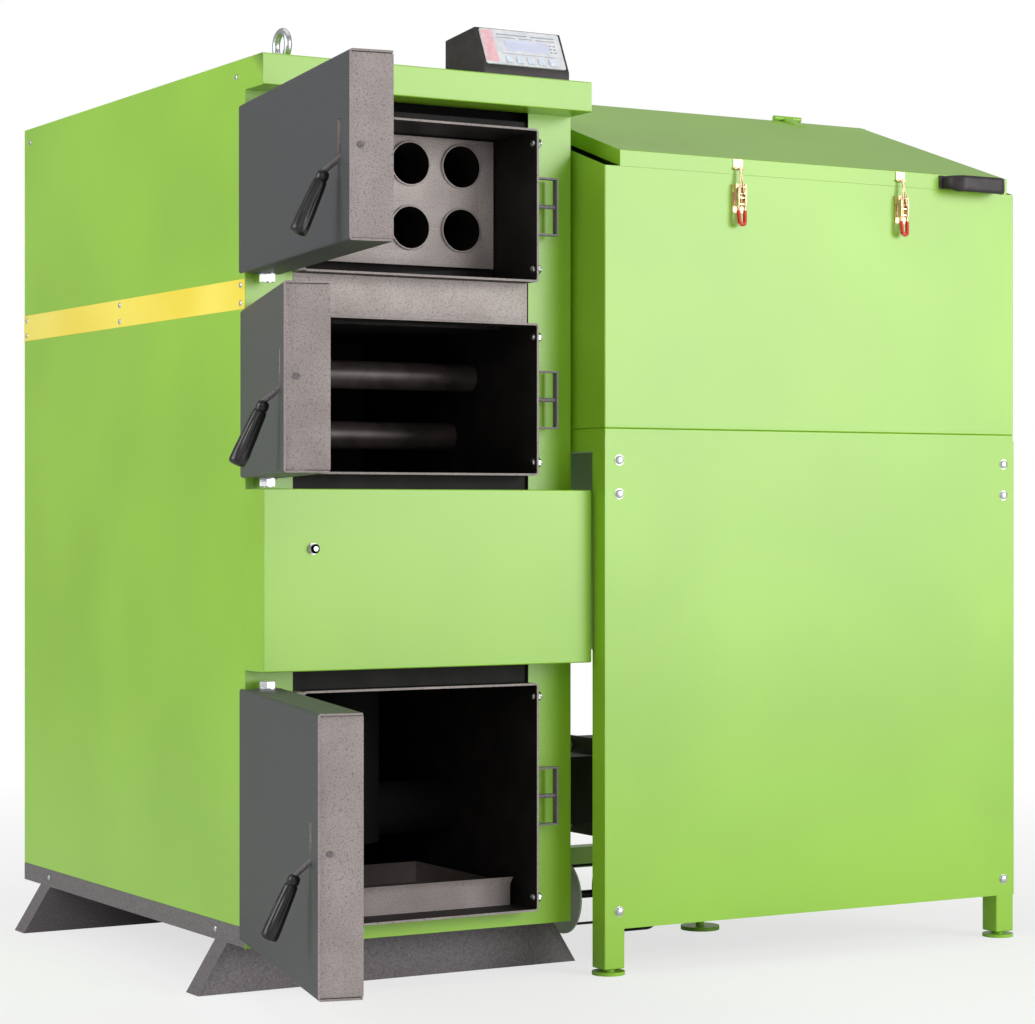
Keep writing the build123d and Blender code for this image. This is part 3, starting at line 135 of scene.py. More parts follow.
def blend(tree, factor, low, high):
    """Mix two colours by a factor and return the result's socket."""
    mix = add(tree, "ShaderNodeMix", {6: low, 7: high}, {0: factor}, data_type="RGBA")
    return mix.outputs[2]


def painted(tree, shader, factor, low, high):
    """Give the surface a mix of two colours, each a hex text or four linear values."""
    low, high = (linear(c) if isinstance(c, str) else c for c in (low, high))
    tree.links.new(blend(tree, factor, low, high), shader.inputs["Base Color"])


def user_colour(name):
    """A colour of the panel as four linear values."""
    return tuple(getattr(bpy.context.scene.boiler_colours, name)) + (1.0,)


def spread(tree, source, low, high, to_low=0.0, to_high=1.0):
    """Map a value's range onto another and clamp it."""
    values = {1: low, 2: high, 3: to_low, 4: to_high}
    return add(tree, "ShaderNodeMapRange", values, {0: source}).outputs[0]


def noise(tree, place, millimetres, detail=2.0):
    """Noise whose grains are about that many millimetres across."""
    return add(tree, "ShaderNodeTexNoise", {"Scale": 1000 / millimetres, "Detail": detail},
               {"Vector": place}).outputs["Fac"]


Skin = namedtuple("Skin", "dark light roughness metallic specular cloud span relief strength depth",
                  defaults=(None, 0.0, 0.0))

# Finishes of two colours clouded together. cloud and relief are a pattern's grain in millimetres and its
# detail, span is the part of the pattern's range that goes from dark to light, depth is in metres.
SKINS = {
    # Boiler plate inside the chambers: brown-black scale with a dull sheen and rolled-on unevenness. On the
    # door frames' inner faces this near-black is painted shade.
    "sooted_steel": Skin("#151313", "#262221", 0.62, 0.0, 0.3,
                         (60.0, 5.0), (0.35, 0.7), (9.0, 5.0), 0.3, 0.0003),
    # Drawn steel tube with mill scale: dark brown-grey and a soft sheen along its length.
    "tube_steel": Skin("#3A3332", "#544C4A", 0.42, 0.35, 0.5,
                       (40.0, 4.0), (0.3, 0.7), (6.0, 4.0), 0.2, 0.0001),
    # Stoved black enamel on the feeder: satin, a little dust-grey in the broad faces.
    "black_enamel": Skin("#131314", "#242426", 0.42, 0.0, 0.45,
                         (70.0, 3.0), (0.3, 0.7), (5.0, 2.0), 0.25, 0.00008),
    # Powder-coated feet and plinth: the doors' coat, a shade warmer.
    "casing_graphite": Skin("#5A5557", "#787276", 0.5, 0.0, 0.45,
                            (3.5, 3.0), (0.33, 0.66), (3.5, 3.0), 0.35, 0.0001),
    # Yellow-passivated zinc on the toggle latches: pale gold with a hint of rose.
    "yellow_zinc": Skin("#C9A98A", "#F0DDAE", 0.34, 0.85, 0.5,
                        (12.0, 2.0), (0.3, 0.7), (3.0, 2.0), 0.15, 0.00004),
    # Compression-moulded phenolic: brown-black and glossy, with fine mould flow.
    "black_bakelite": Skin("#0D0B0B", "#1D1819", 0.33, 0.0, 0.5,
                           (14.0, 5.0), (0.35, 0.7), (5.0, 4.0), 0.25, 0.0001),
    # Glass-filled nylon of the lid's handle: dark plum-brown, matt, with a fine eroded grain.
    "moulded_nylon": Skin("#231D21", "#3A3236", 0.48, 0.0, 0.4,
                          (25.0, 3.0), (0.35, 0.65), (2.5, 2.0), 0.3, 0.00008),
    # Dark ABS of the controller's housing: fine spark-eroded texture.
    "moulded_abs": Skin("#1E1819", "#2E2627", 0.5, 0.0, 0.45,
                        (30.0, 2.0), (0.35, 0.65), (2.0, 2.0), 0.3, 0.00008),
    # Dipped PVC sleeves on the latch loops: soft and glossy.
    "red_vinyl": Skin("#B81A14", "#E23427", 0.28, 0.0, 0.5, (6.0, 2.0), None, (6.0, 2.0), 0.2, 0.00008),
    # Matt polyester overlay of the controller: pale grey, faintly mottled.
    "overlay_film": Skin("#D3D7DB", "#E6E7EA", 0.38, 0.0, 0.5,
                         (18.0, 3.0), (0.35, 0.65), (2.0, 1.0), 0.15, 0.00003),
    # Rose band printed on the overlay, fading towards its inner side.
    "overlay_band": Skin("#E9AEB6", "#EFCCD2", 0.38, 0.0, 0.5,
                         (10.0, 2.0), (0.3, 0.7), (2.0, 1.0), 0.15, 0.00003),
    # Dark ink of the plain lines on the overlay.
    "overlay_ink": Skin("#8E96A0", "#A9B0B8", 0.4, 0.0, 0.5, (3.0, 2.0), None),
    # Pale polycarbonate keys: smooth, blue-grey.
    "button_plastic": Skin("#C9D8E8", "#EDF3F8", 0.3, 0.0, 0.5, (9.0, 2.0), (0.3, 0.7)),
    # Milky polypropylene disc in front of the fan: satin white, faintly clouded.
    "pale_plastic": Skin("#F1F1EE", "#F8F8F6", 0.45, 0.0, 0.4, (40.0, 2.0), (0.3, 0.7)),
    # Sand-cast iron of the burner: near black, with a coarse 4 mm skin.
    "cast_iron": Skin("#0A0909", "#131212", 0.9, 0.0, 0.15, (4.0, 4.0), None, (4.0, 4.0), 0.5, 0.0005),
}


def clouded(name):
    """Make a finish of the table."""
    skin = SKINS[name]
    material, tree, shader, place = start(name, skin.roughness, skin.metallic,
                                          Specular_IOR_Level=skin.specular)
    cloud = noise(tree, place, *skin.cloud)
    factor = spread(tree, cloud, *skin.span) if skin.span else cloud
    painted(tree, shader, factor, skin.dark, skin.light)
    if skin.relief:
        relief(tree, shader, noise(tree, place, *skin.relief), skin.strength, skin.depth)
    return material


FINISHES = {}


def finish(name):
    """Return a finish by name, made the first time it is asked for."""
    if name not in FINISHES:
        FINISHES[name] = clouded(name) if name in SKINS else MAKERS[name]()
    return FINISHES[name]


def green_powder_coat():
    # Polyester powder coat: satin gloss with a faint orange peel, whose 3 mm cells are drawn at 7 mm to show.
    material, tree, shader, place = start("green_powder_coat", 0.36, Specular_IOR_Level=0.6, Coat_Weight=0.5,
                                          Coat_Roughness=0.3)
    broad = spread(tree, noise(tree, place, 420.0, 1.0), 0.35, 0.65)
    painted(tree, shader, broad, user_colour("casing_shade"), user_colour("casing"))
    relief(tree, shader, noise(tree, place, 7.0), 0.35, 0.00006)
    return material


def graphite_powder_coat():
    # Fine-structure powder coat on the doors: matt, with grains of about 1 mm drawn at 3 mm.
    material, tree, shader, place = start("graphite_powder_coat", 0.55, Specular_IOR_Level=0.45)
    grains = spread(tree, noise(tree, place, 3.0, 3.0), 0.35, 0.68)
    painted(tree, shader, grains, "#3F4042", user_colour("doors"))
    relief(tree, shader, noise(tree, place, 3.0, 3.0), 0.4, 0.00012)
    return material


def primer(name, speck, dark, light):
    """Primer with dark specks over a clouded ground."""
    material, tree, shader, place = start(name, 0.6, Specular_IOR_Level=0.4)
    specks = spread(tree, noise(tree, place, 2.6, 3.0), 0.30, 0.50)
    cloud = spread(tree, noise(tree, place, 90.0, 2.0), 0.3, 0.7)
    ground = blend(tree, cloud, linear(dark), linear(light))
    speckled = add(tree, "ShaderNodeMix", {6: linear(speck)}, {0: specks, 7: ground}, data_type="RGBA")
    tree.links.new(speckled.outputs[2], shader.inputs["Base Color"])
    relief(tree, shader, noise(tree, place, 2.6, 3.0), 0.3, 0.0001)
    return material


def speckled_primer():
    # Heat-resistant primer on thick plate: warm grey, with dark specks of about 1 mm drawn at 2.6 mm.
    return primer("speckled_primer", "#776D6B", "#958B89", "#A69C9A")


def pale_primer():
    # The same primer made paler for the plates inside the frames: painted light, lifting them out of the
    # shade they sit in.
    return primer("pale_primer", "#978D8A", "#B9AEAB", "#CBC1BE")


def zinc_plate():
    # Bright zinc on bolts: cool white metal with faint swirl in its gloss.
    material, tree, shader, place = start("zinc_plate", 0.3, 1.0)
    grain = noise(tree, place, 2.0, 3.0)
    painted(tree, shader, grain, "#B9BDC0", "#E4E6E8")
    tree.links.new(spread(tree, grain, 0.3, 0.7, 0.2, 0.42), shader.inputs["Roughness"])
    return material


def yellow_film():
    # Printed yellow band: gloss lacquer over a smooth sheet, slightly deeper towards its ends.
    material, tree, shader, place = start("yellow_film", 0.3, Specular_IOR_Level=0.5)
    drift = spread(tree, noise(tree, place, 300.0, 1.0), 0.35, 0.65)
    painted(tree, shader, drift, "#F3DC45", user_colour("stripe"))
    relief(tree, shader, noise(tree, place, 8.0, 1.0), 0.2, 0.00004)
    return material


def display_glass():
    # Acrylic window over a lit crystal display: lilac with fine dot rows 2 mm apart.
    material, tree, shader, place = start("display_glass", 0.12, Coat_Weight=0.6, Coat_Roughness=0.05)
    rows = add(tree, "ShaderNodeTexWave", {"Scale": 78.0, "Distortion": 0.0}, {"Vector": place},
               bands_direction="X").outputs["Fac"]
    lines = spread(tree, rows, 0.2, 0.8)
    painted(tree, shader, lines, "#CBD0E9", "#DEE1F2")
    return material


def vermiculite():
    # Pressed vermiculite board in the doors: sandy gold flakes of 3 mm.
    material, tree, shader, place = start("vermiculite", 0.9, Specular_IOR_Level=0.2)
    flakes = add(tree, "ShaderNodeTexVoronoi", {"Scale": 333.0}, {"Vector": place})
    cloud = spread(tree, noise(tree, place, 5.0, 4.0), 0.3, 0.7)
    painted(tree, shader, cloud, "#8C7B5C", "#C2AE84")
    relief(tree, shader, flakes.outputs["Distance"], 0.5, 0.0006)
    return material


def mineral_wool():
    # Pressed mineral wool: yellow-brown fibres in felted layers, with black tissue on the front edges.
    material, tree, shader, place = start("mineral_wool", 0.95, Specular_IOR_Level=0.1)
    stretched = add(tree, "ShaderNodeMapping", {"Scale": (1.0, 0.2, 1.0)}, {"Vector": place}).outputs[0]
    fibres = noise(tree, stretched, 4.0, 6.0)
    fleece = blend(tree, fibres, linear("#7E6A3C"), linear("#C9B67E"))
    depth = add(tree, "ShaderNodeSeparateXYZ", None, {0: place}).outputs["Y"]
    behind = spread(tree, depth, -0.0865, -0.0855)
    faced = add(tree, "ShaderNodeMix", {6: linear("#121212")}, {0: behind, 7: fleece}, data_type="RGBA")
    tree.links.new(faced.outputs[2], shader.inputs["Base Color"])
    relief(tree, shader, fibres, 0.7, 0.001)
    return material


def glass_rope():
    # Braided glass-fibre rope: off-white yarns 2 mm wide crossing at a slant.
    material, tree, shader, place = start("glass_rope", 0.85, Specular_IOR_Level=0.2, Sheen_Weight=0.3)
    yarn = add(tree, "ShaderNodeTexWave", {"Scale": 110.0, "Distortion": 1.5, "Detail": 2.0},
               {"Vector": place}, bands_direction="DIAGONAL").outputs["Fac"]
    painted(tree, shader, yarn, "#8F8B83", "#CFCAC0")
    relief(tree, shader, yarn, 0.6, 0.0004)
    return material


def paper_floor():
    # Seamless paper: white, and whiter still to the camera so that only soft shade shows on it.
    material, tree, shader, place = start("paper_floor", 0.9, Specular_IOR_Level=0.1)
    fibre = spread(tree, noise(tree, place, 30.0, 4.0), 0.3, 0.7)
    painted(tree, shader, fibre, "#F2F2F2", "#F8F8F8")
    glow = add(tree, "ShaderNodeEmission", {"Color": (1.0, 1.0, 1.0, 1.0), "Strength": 1.0})
    rays = add(tree, "ShaderNodeLightPath")
    away = add(tree, "ShaderNodeVectorMath", None, {0: place}, operation="LENGTH").outputs["Value"]
    fade = spread(tree, away, 1.6, 4.5, 0.7, 1.0)
    share = add(tree, "ShaderNodeMath", None, {0: rays.outputs["Is Camera Ray"], 1: fade},
                operation="MULTIPLY")
    both = add(tree, "ShaderNodeMixShader", None, {0: share.outputs[0], 1: shader.outputs[0],
               2: glow.outputs[0]})
    tree.links.new(both.outputs[0], tree.nodes["Material Output"].inputs["Surface"])
    return material


MAKERS = {maker.__name__: maker for maker in (
    green_powder_coat, graphite_powder_coat, speckled_primer, pale_primer, zinc_plate, yellow_film,
    display_glass, vermiculite, mineral_wool, glass_rope, paper_floor)}


def own(shape, name, finishes, body, angle=35.0):
    """Make an object from a bmesh, give it its finishes and let it ride on a body."""
    mesh = bpy.data.meshes.new(name)
    shape.to_mesh(mesh)
    shape.free()
    for item in finishes:
        mesh.materials.append(finish(item))
    for polygon in mesh.polygons:
        polygon.use_smooth = True
    mesh.set_sharp_from_angle(angle=radians(angle))
    piece = bpy.data.objects.new(name, mesh)
    bpy.context.scene.collection.objects.link(piece)
    if body:
        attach(piece, body)
    return piece


def coat(node, name):
    """Give a CAD node a finish in place of its plain one."""
    mesh = frame["nodes"][node].data
    mesh.materials.clear()
    mesh.materials.append(finish(name))


def width_of(face):
    """A long face's width."""
    return 2 * face.calc_area() / max(face.calc_perimeter(), 1e-9)


def dressed(node, name, body, finishes, fold=0.0, pick=None, reach=0.02):
    """A copy of a CAD node with rounded folds and its own finishes, shown in the node's place.

    fold is the fold's radius and reach the shortest edge that gets one, in metres. pick gives each face's
    finish number from its middle and normal.
    """
    shape = bmesh.new()
    shape.from_mesh(frame["nodes"][node].data)
    bmesh.ops.remove_doubles(shape, verts=shape.verts, dist=1e-6)
    bmesh.ops.dissolve_limit(shape, angle_limit=radians(0.3), verts=shape.verts, edges=shape.edges)
    if fold:
        edges = [e for e in shape.edges if len(e.link_faces) == 2 and e.calc_length() > reach
                 and e.calc_face_angle_signed() > radians(50)
                 and min(width_of(f) for f in e.link_faces) > 2.5 * fold]
        bmesh.ops.bevel(shape, geom=edges, offset=fold, offset_type="OFFSET", segments=3, profile=0.5,
                        affect="EDGES", clamp_overlap=True)
    if pick:
        shape.normal_update()
        for face in shape.faces:
            face.material_index = pick(face.calc_center_median() / MM, face.normal)
    bmesh.ops.triangulate(shape, faces=[f for f in shape.faces if len(f.verts) > 4])
    piece = own(shape, name, finishes, body)
    weigh = piece.modifiers.new("weigh", "WEIGHTED_NORMAL")
    weigh.keep_sharp = True
    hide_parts(node)
    return piece


def skinned(shape, rings, closed=False):
    """Close rings of vertices into a tube, with end caps unless it runs round."""
    pairs = list(zip(rings, rings[1:])) + ([(rings[-1], rings[0])] if closed else [])
    for low, high in pairs:
        for k, corner in enumerate(low):
            n = (k + 1) % len(low)
            shape.faces.new((corner, low[n], high[n], high[k]))
    if not closed:
        shape.faces.new(rings[0][::-1])
        shape.faces.new(rings[-1])
    bmesh.ops.recalc_face_normals(shape, faces=shape.faces)


def turned(shape, profile, origin, way, sides=32, flutes=None):
    """Add a turned shape: profile is (distance along the way, radius), in millimetres.

    flutes is their count, where they start and end along the way, and their depth.
    """
    way = way.normalized()
    side = way.orthogonal().normalized()
    up = way.cross(side)
    rings = []
    for along, radius in profile:
        ring = []
        for k in range(sides):
            angle = 2 * pi * k / sides
            size = radius
            if flutes and flutes[1] < along < flutes[2]:
                size = radius - flutes[3] * max(0.0, cos(flutes[0] * angle)) ** 2
            spot = origin + way * along + (side * cos(angle) + up * sin(angle)) * size
            ring.append(shape.verts.new(spot * MM))
        rings.append(ring)
    skinned(shape, rings)


def swept(shape, points, radius, sides):
    """Add a round wire along points in millimetres."""
    last = len(points) - 1
    rings = []
    side = None
    for i, point in enumerate(points):
        way = (points[min(i + 1, last)] - points[max(i - 1, 0)]).normalized()
        side = way.orthogonal().normalized() if side is None else (side - way * side.dot(way)).normalized()
        up = way.cross(side)
        angles = [2 * pi * k / sides for k in range(sides)]
        rings.append([shape.verts.new((point + (side * cos(a) + up * sin(a)) * radius) * MM) for a in angles])
    skinned(shape, rings)


def bend(a, corner, b, steps):
    """Points of a soft curve from a to b that turns at a corner."""
    shares = [k / steps for k in range(steps + 1)]
    return [a * (1 - t) ** 2 + corner * 2 * t * (1 - t) + b * t ** 2 for t in shares]


def eased(points, radius, steps):
    """Round a path's inner corners."""
    points = [Vector(p) for p in points]
    path = [points[0]]
    for before, corner, after in zip(points, points[1:], points[2:]):
        a = corner + (before - corner).normalized() * radius
        b = corner + (after - corner).normalized() * radius
        path += bend(a, corner, b, steps)
    path.append(points[-1])
    return path


def slab(shape, low, high, ease=0.0, axes=None):
    """Add a box with eased edges, in millimetres; axes places and turns it."""
    low, high = Vector(low), Vector(high)
    made = bmesh.ops.create_cube(shape, size=1.0)
    verts = made["verts"]
    turn = axes if axes else Matrix.Identity(4)
    for vert in verts:
        vert.co = (turn @ Vector([low[i] + (high[i] - low[i]) * (vert.co[i] + 0.5) for i in range(3)])) * MM
    if ease:
        edges = list({e for v in verts for e in v.link_edges})
        bmesh.ops.bevel(shape, geom=edges, offset=ease * MM, offset_type="OFFSET", segments=3, profile=0.5,
                        affect="EDGES", clamp_overlap=True)


def door_angle(name):
    """How far a door stands open at rest."""
    hinge = next(j for j in frame["joints"] if j["name"] == f"{name}_door_hinge")
    return radians(-hinge["range_deg"][0])


def door_axes(name):
    """Origin and directions of an open door: along it, into it and up."""
    angle = door_angle(name)
    origin = Vector((HINGE[0], HINGE[1], FRAME_LOWS[name] - DOOR_LAPS[name]))
    along = Vector((cos(angle), -sin(angle), 0))
    inward = Vector((sin(angle), cos(angle), 0))
    return origin, along, inward, Vector((0, 0, 1))


def in_door(name, u, v, w):
    """A point of an open door in millimetres."""
    origin, along, inward, up = door_axes(name)
    return origin + along * u + inward * v + up * w


def new_tree(name, inputs):
    """Start a geometry tree with a geometry input, named inputs and a geometry output."""
    tree = bpy.data.node_groups.new(name, "GeometryNodeTree")
    tree.interface.new_socket("Geometry", in_out="INPUT", socket_type="NodeSocketGeometry")
    for label, kind, value in inputs:
        socket = tree.interface.new_socket(label, in_out="INPUT", socket_type=kind)
        if value is not None:
            socket.default_value = value
    tree.interface.new_socket("Geometry", in_out="OUTPUT", socket_type="NodeSocketGeometry")
    return tree, tree.nodes.new("NodeGroupInput"), tree.nodes.new("NodeGroupOutput")


def fastener_tree():
    """Heads on points: each has a washer, a head of any number of sides, a dome and a thread end."""
    tree, given, out = new_tree("fasteners", (
        ("Sides", "NodeSocketInt", 6), ("Head Radius", "NodeSocketFloat", 0.0098),
        ("Head Height", "NodeSocketFloat", 0.009), ("Washer Radius", "NodeSocketFloat", 0.0),
        ("Washer Thickness", "NodeSocketFloat", 0.0015), ("Dome", "NodeSocketFloat", 0.0),
        ("Thread Radius", "NodeSocketFloat", 0.0), ("Thread Length", "NodeSocketFloat", 0.0),
        ("Seed", "NodeSocketInt", FASTENER_SEED), ("Finish", "NodeSocketMaterial", None)))

    def maths(operation, *parts):
        """Sum or product of two sockets or numbers."""
        values = {i: part for i, part in enumerate(parts) if isinstance(part, float)}
        links = {i: part for i, part in enumerate(parts) if not isinstance(part, float)}
        return add(tree, "ShaderNodeMath", values, links, operation=operation).outputs[0]

    def raised(shape, height, scale=None):
        """A mesh lifted by a height, and scaled if a scale is given."""
        place = add(tree, "ShaderNodeCombineXYZ", None, {"Z": height}).outputs[0]
        links = {"Geometry": shape.outputs["Mesh"], "Translation": place}
        if scale:
            links["Scale"] = scale
        return add(tree, "GeometryNodeTransform", None, links)

    def cylinder(radius, depth, sides):
        """A cylinder whose sizes are two named inputs."""
        links = {"Radius": given.outputs[radius], "Depth": given.outputs[depth]}
        if isinstance(sides, int):
            return add(tree, "GeometryNodeMeshCylinder", {"Vertices": sides}, links)
        return add(tree, "GeometryNodeMeshCylinder", None, {"Vertices": sides, **links})

    tall, washer = given.outputs["Head Height"], given.outputs["Washer Thickness"]
    middle = maths("ADD", maths("MULTIPLY", tall, 0.5), washer)
    head_set = raised(cylinder("Head Radius", "Head Height", given.outputs["Sides"]), middle)
    washer_set = raised(cylinder("Washer Radius", "Washer Thickness", 28), maths("MULTIPLY", washer, 0.5))
    dome_size = add(tree, "ShaderNodeCombineXYZ", None, {"X": given.outputs["Head Radius"],
                    "Y": given.outputs["Head Radius"], "Z": given.outputs["Dome"]})
    dome = add(tree, "GeometryNodeMeshUVSphere", {"Segments": 24, "Rings": 10, "Radius": 1.0})
    dome_set = raised(dome, maths("ADD", tall, washer), dome_size.outputs[0])
    thread_set = raised(cylinder("Thread Radius", "Thread Length", 16),
                        maths("MULTIPLY", given.outputs["Thread Length"], 0.5))
    joined = add(tree, "GeometryNodeJoinGeometry")
    for part in (head_set, washer_set, dome_set, thread_set):
        tree.links.new(part.outputs["Geometry"], joined.inputs[0])
    points = add(tree, "GeometryNodeMeshToPoints", None, {"Mesh": given.outputs["Geometry"]})
    way = add(tree, "GeometryNodeInputNamedAttribute", {"Name": "way"}, data_type="FLOAT_VECTOR")
    aim = add(tree, "FunctionNodeAlignRotationToVector", None, {"Vector": way.outputs[0]}, axis="Z")
    spin = add(tree, "FunctionNodeRandomValue", {2: 0.0, 3: 1.04}, {"Seed": given.outputs["Seed"]},
               data_type="FLOAT")
    twist = add(tree, "ShaderNodeCombineXYZ", None, {"Z": spin.outputs[1]})
    turn = add(tree, "FunctionNodeRotateRotation", None, {0: aim.outputs[0], 1: twist.outputs[0]},
               rotation_space="LOCAL")
    placed = add(tree, "GeometryNodeInstanceOnPoints", None, {"Points": points.outputs[0],
                 "Instance": joined.outputs[0], "Rotation": turn.outputs[0]})
    real = add(tree, "GeometryNodeRealizeInstances", None, {"Geometry": placed.outputs[0]})
    painted = add(tree, "GeometryNodeSetMaterial", None, {"Geometry": real.outputs[0],
                  "Material": given.outputs["Finish"]})
    tree.links.new(painted.outputs[0], out.inputs[0])
    return tree


def rib_tree():
    """Cooling ribs set evenly round an axis along X."""
    tree, given, out = new_tree("cooling_ribs", (
        ("Count", "NodeSocketInt", 24), ("Ring Radius", "NodeSocketFloat", 0.066),
        ("Rib Length", "NodeSocketFloat", 0.1), ("Rib Height", "NodeSocketFloat", 0.012),
        ("Rib Thickness", "NodeSocketFloat", 0.0025), ("Centre", "NodeSocketVector", (0.0, 0.0, 0.0)),
        ("Finish", "NodeSocketMaterial", None)))
    size = add(tree, "ShaderNodeCombineXYZ", None, {"X": given.outputs["Rib Height"],
               "Y": given.outputs["Rib Thickness"], "Z": given.outputs["Rib Length"]})
    rib = add(tree, "GeometryNodeMeshCube", None, {"Size": size.outputs[0]})
    ring = add(tree, "GeometryNodeMeshCircle", None, {"Vertices": given.outputs["Count"],
               "Radius": given.outputs["Ring Radius"]})
    points = add(tree, "GeometryNodeMeshToPoints", None, {"Mesh": ring.outputs[0]})
    spot = add(tree, "GeometryNodeInputPosition")
    aim = add(tree, "FunctionNodeAlignRotationToVector", None, {"Vector": spot.outputs[0]}, axis="X",
              pivot_axis="Z")
    placed = add(tree, "GeometryNodeInstanceOnPoints", None, {"Points": points.outputs[0],
                 "Instance": rib.outputs[0], "Rotation": aim.outputs[0]})
    real = add(tree, "GeometryNodeRealizeInstances", None, {"Geometry": placed.outputs[0]})
    lay = add(tree, "GeometryNodeTransform", {"Rotation": (0.0, pi / 2, 0.0)}, {"Geometry": real.outputs[0],
              "Translation": given.outputs["Centre"]})
    painted = add(tree, "GeometryNodeSetMaterial", None, {"Geometry": lay.outputs[0],
                  "Material": given.outputs["Finish"]})
    tree.links.new(painted.outputs[0], out.inputs[0])
    return tree


def grown(name, tree, body, mesh=None, **inputs):
    """Run a geometry tree once and keep its result as a plain mesh on a body."""
    piece = bpy.data.objects.new(name, mesh or bpy.data.meshes.new(name))
    bpy.context.scene.collection.objects.link(piece)
    modifier = piece.modifiers.new("grow", "NODES")
    modifier.node_group = tree
    sockets = {s.name: s.identifier for s in tree.interface.items_tree if s.in_out == "INPUT"}
    for label, value in inputs.items():
        modifier[sockets[label.replace("_", " ")]] = value
    piece.update_tag()
    bpy.context.view_layer.update()
    graph = bpy.context.evaluated_depsgraph_get()
    result = bpy.data.meshes.new_from_object(piece.evaluated_get(graph))
    piece.modifiers.clear()
    piece.data = result
    for polygon in result.polygons:
        polygon.use_smooth = True
    result.set_sharp_from_angle(angle=radians(35))
    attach(piece, body)
    return piece


def fasteners(name, body, spots, **inputs):
    """Screws, rivets or nuts at (place in millimetres, outward way)."""
    mesh = bpy.data.meshes.new(name)
    mesh.from_pydata([tuple(Vector(p) * MM) for p, way in spots], [], [])
    ways = mesh.attributes.new("way", "FLOAT_VECTOR", "POINT")
    ways.data.foreach_set("vector", [c for p, way in spots for c in way])
    return grown(name, bpy.data.node_groups.get("fasteners") or fastener_tree(), body, mesh, **inputs)


class BoilerColours(bpy.types.PropertyGroup):
    """Colours a user would change."""

    casing: FloatVectorProperty(name="Casing", description="Green of the casing and hopper", subtype="COLOR",
                                min=0.0, max=1.0, default=linear("#92C82A")[:3])
    casing_shade: FloatVectorProperty(name="Casing drift", description="Green that the casing drifts to",
                                      subtype="COLOR", min=0.0, max=1.0, default=linear("#8ABF27")[:3])
    doors: FloatVectorProperty(name="Doors", description="Grey of the doors", subtype="COLOR",
                               min=0.0, max=1.0, default=linear("#4B4C4F")[:3])
    stripe: FloatVectorProperty(name="Stripe", description="Yellow of the side stripe", subtype="COLOR",
                                min=0.0, max=1.0, default=linear("#FBEA62")[:3])


class BoilerSizes(bpy.types.PropertyGroup):
    """Sizes of the small forms that the scene adds."""

    fold: FloatProperty(name="Fold radius", description="Radius of the casing's folds", unit="LENGTH",
                        default=0.0028, min=0.0005, max=0.006)
    screw_radius: FloatProperty(name="Screw head", description="Radius of the casing screws' heads",
                                unit="LENGTH", default=0.0062, min=0.003, max=0.01)
    button_radius: FloatProperty(name="Button head", description="Radius of the hopper bolts' heads",
                                 unit="LENGTH", default=0.0095, min=0.005, max=0.014)
    nut_radius: FloatProperty(name="Nut", description="Radius of the frame nuts over their corners",
                              unit="LENGTH", default=0.0098, min=0.005, max=0.015)
    rope_width: FloatProperty(name="Rope seal", description="Width of the doors' rope seals", unit="LENGTH",
                              default=0.009, min=0.006, max=0.012)
    flutes: IntProperty(name="Handle flutes", description="Flutes round a latch handle", default=8,
                        min=4, max=16)
    rib_count: IntProperty(name="Motor ribs", description="Cooling ribs round the feeder's motor", default=28,
                           min=12, max=48)


class BoilerStage(bpy.types.PropertyGroup):
    """Camera and light."""

    lens: FloatProperty(name="Lens", description="Focal length of the camera", subtype="DISTANCE_CAMERA",
                        default=97.63, min=20.0, max=200.0)
    turn: FloatProperty(name="Camera turn", description="Camera's turn to the right of the back",
                        subtype="ANGLE", default=radians(30.466), min=-pi, max=pi)
    world_light: FloatProperty(name="Room light", description="Strength of the even room light", default=0.32,
                               min=0.0, max=2.0)


class BOILER_OT_casing(bpy.types.Operator):
    """Dress the green casing, its stripe, plinth and feet."""

    bl_idname = "boiler.casing"
    bl_label = "Casing"

    def execute(self, context):
        fold = context.scene.boiler_sizes.fold
        for node, name in (("left_panel", "left_side_sheet"), ("right_panel", "right_side_sheet"),
                           ("rear_panel", "rear_sheet"), ("top_cover", "top_sheet"),
                           ("middle_cover", "middle_box")):
            dressed(node, name, "boiler", ["green_powder_coat"], fold)
        dressed("base_frame", "plinth_and_feet", "boiler", ["casing_graphite"], fold)
        shape = bmesh.new()
        slab(shape, (LEFT - 1.0, FRONT, STRIPE_Z[0]), (LEFT, BACK, STRIPE_Z[1]), 0.3)
        stripe = own(shape, "yellow_band", ["yellow_film"], "boiler")
        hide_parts("left_stripe")
        coat("insulation", "mineral_wool")
        coat("rear_connections", "black_enamel")
        coat("eye_bolts", "zinc_plate")
        return {"FINISHED"}


class BOILER_OT_steelwork(bpy.types.Operator):
    """Dress the steel body, frames, tubes, ash pan and burner."""

    bl_idname = "boiler.steelwork"
    bl_label = "Steelwork"

    def execute(self, context):
        coat("boiler_body", "sooted_steel")
        coat("burner_retort", "cast_iron")
        coat("latch_keepers", "casing_graphite")

        # Inner faces of the door frames get the near-black steel as painted shade. Front faces and outer
        # sides get the primer. Front-facing plates set back behind the rims get the paler primer as painted
        # light.
        def frames_pick(middle, normal):
            if normal.y < -0.5 and middle.y > FRONT - 20:
                return 2
            outside = abs(middle.x) > 269.6 and middle.y < FRONT + 10
            return 1 if normal.y < -0.5 or outside else 0

        dressed("door_frames", "door_frame_set", "boiler", ["sooted_steel", "speckled_primer", "pale_primer"],
                0.0008, frames_pick)

        # The tube plate gets the paler primer as painted light. Tubes below 1440 mm get the tube steel, and
        # the rest gets the near-black steel.
        def tubes_pick(middle, normal):
            if middle.y < 18.0:
                return 1
            return 2 if middle.z < 1440 else 0

        dressed("tube_bundle", "tube_set", "boiler", ["sooted_steel", "pale_primer", "tube_steel"], 0.0,
                tubes_pick)
        dressed("ash_pan", "ash_drawer", "ash_pan", ["speckled_primer"], 0.0006)
        return {"FINISHED"}


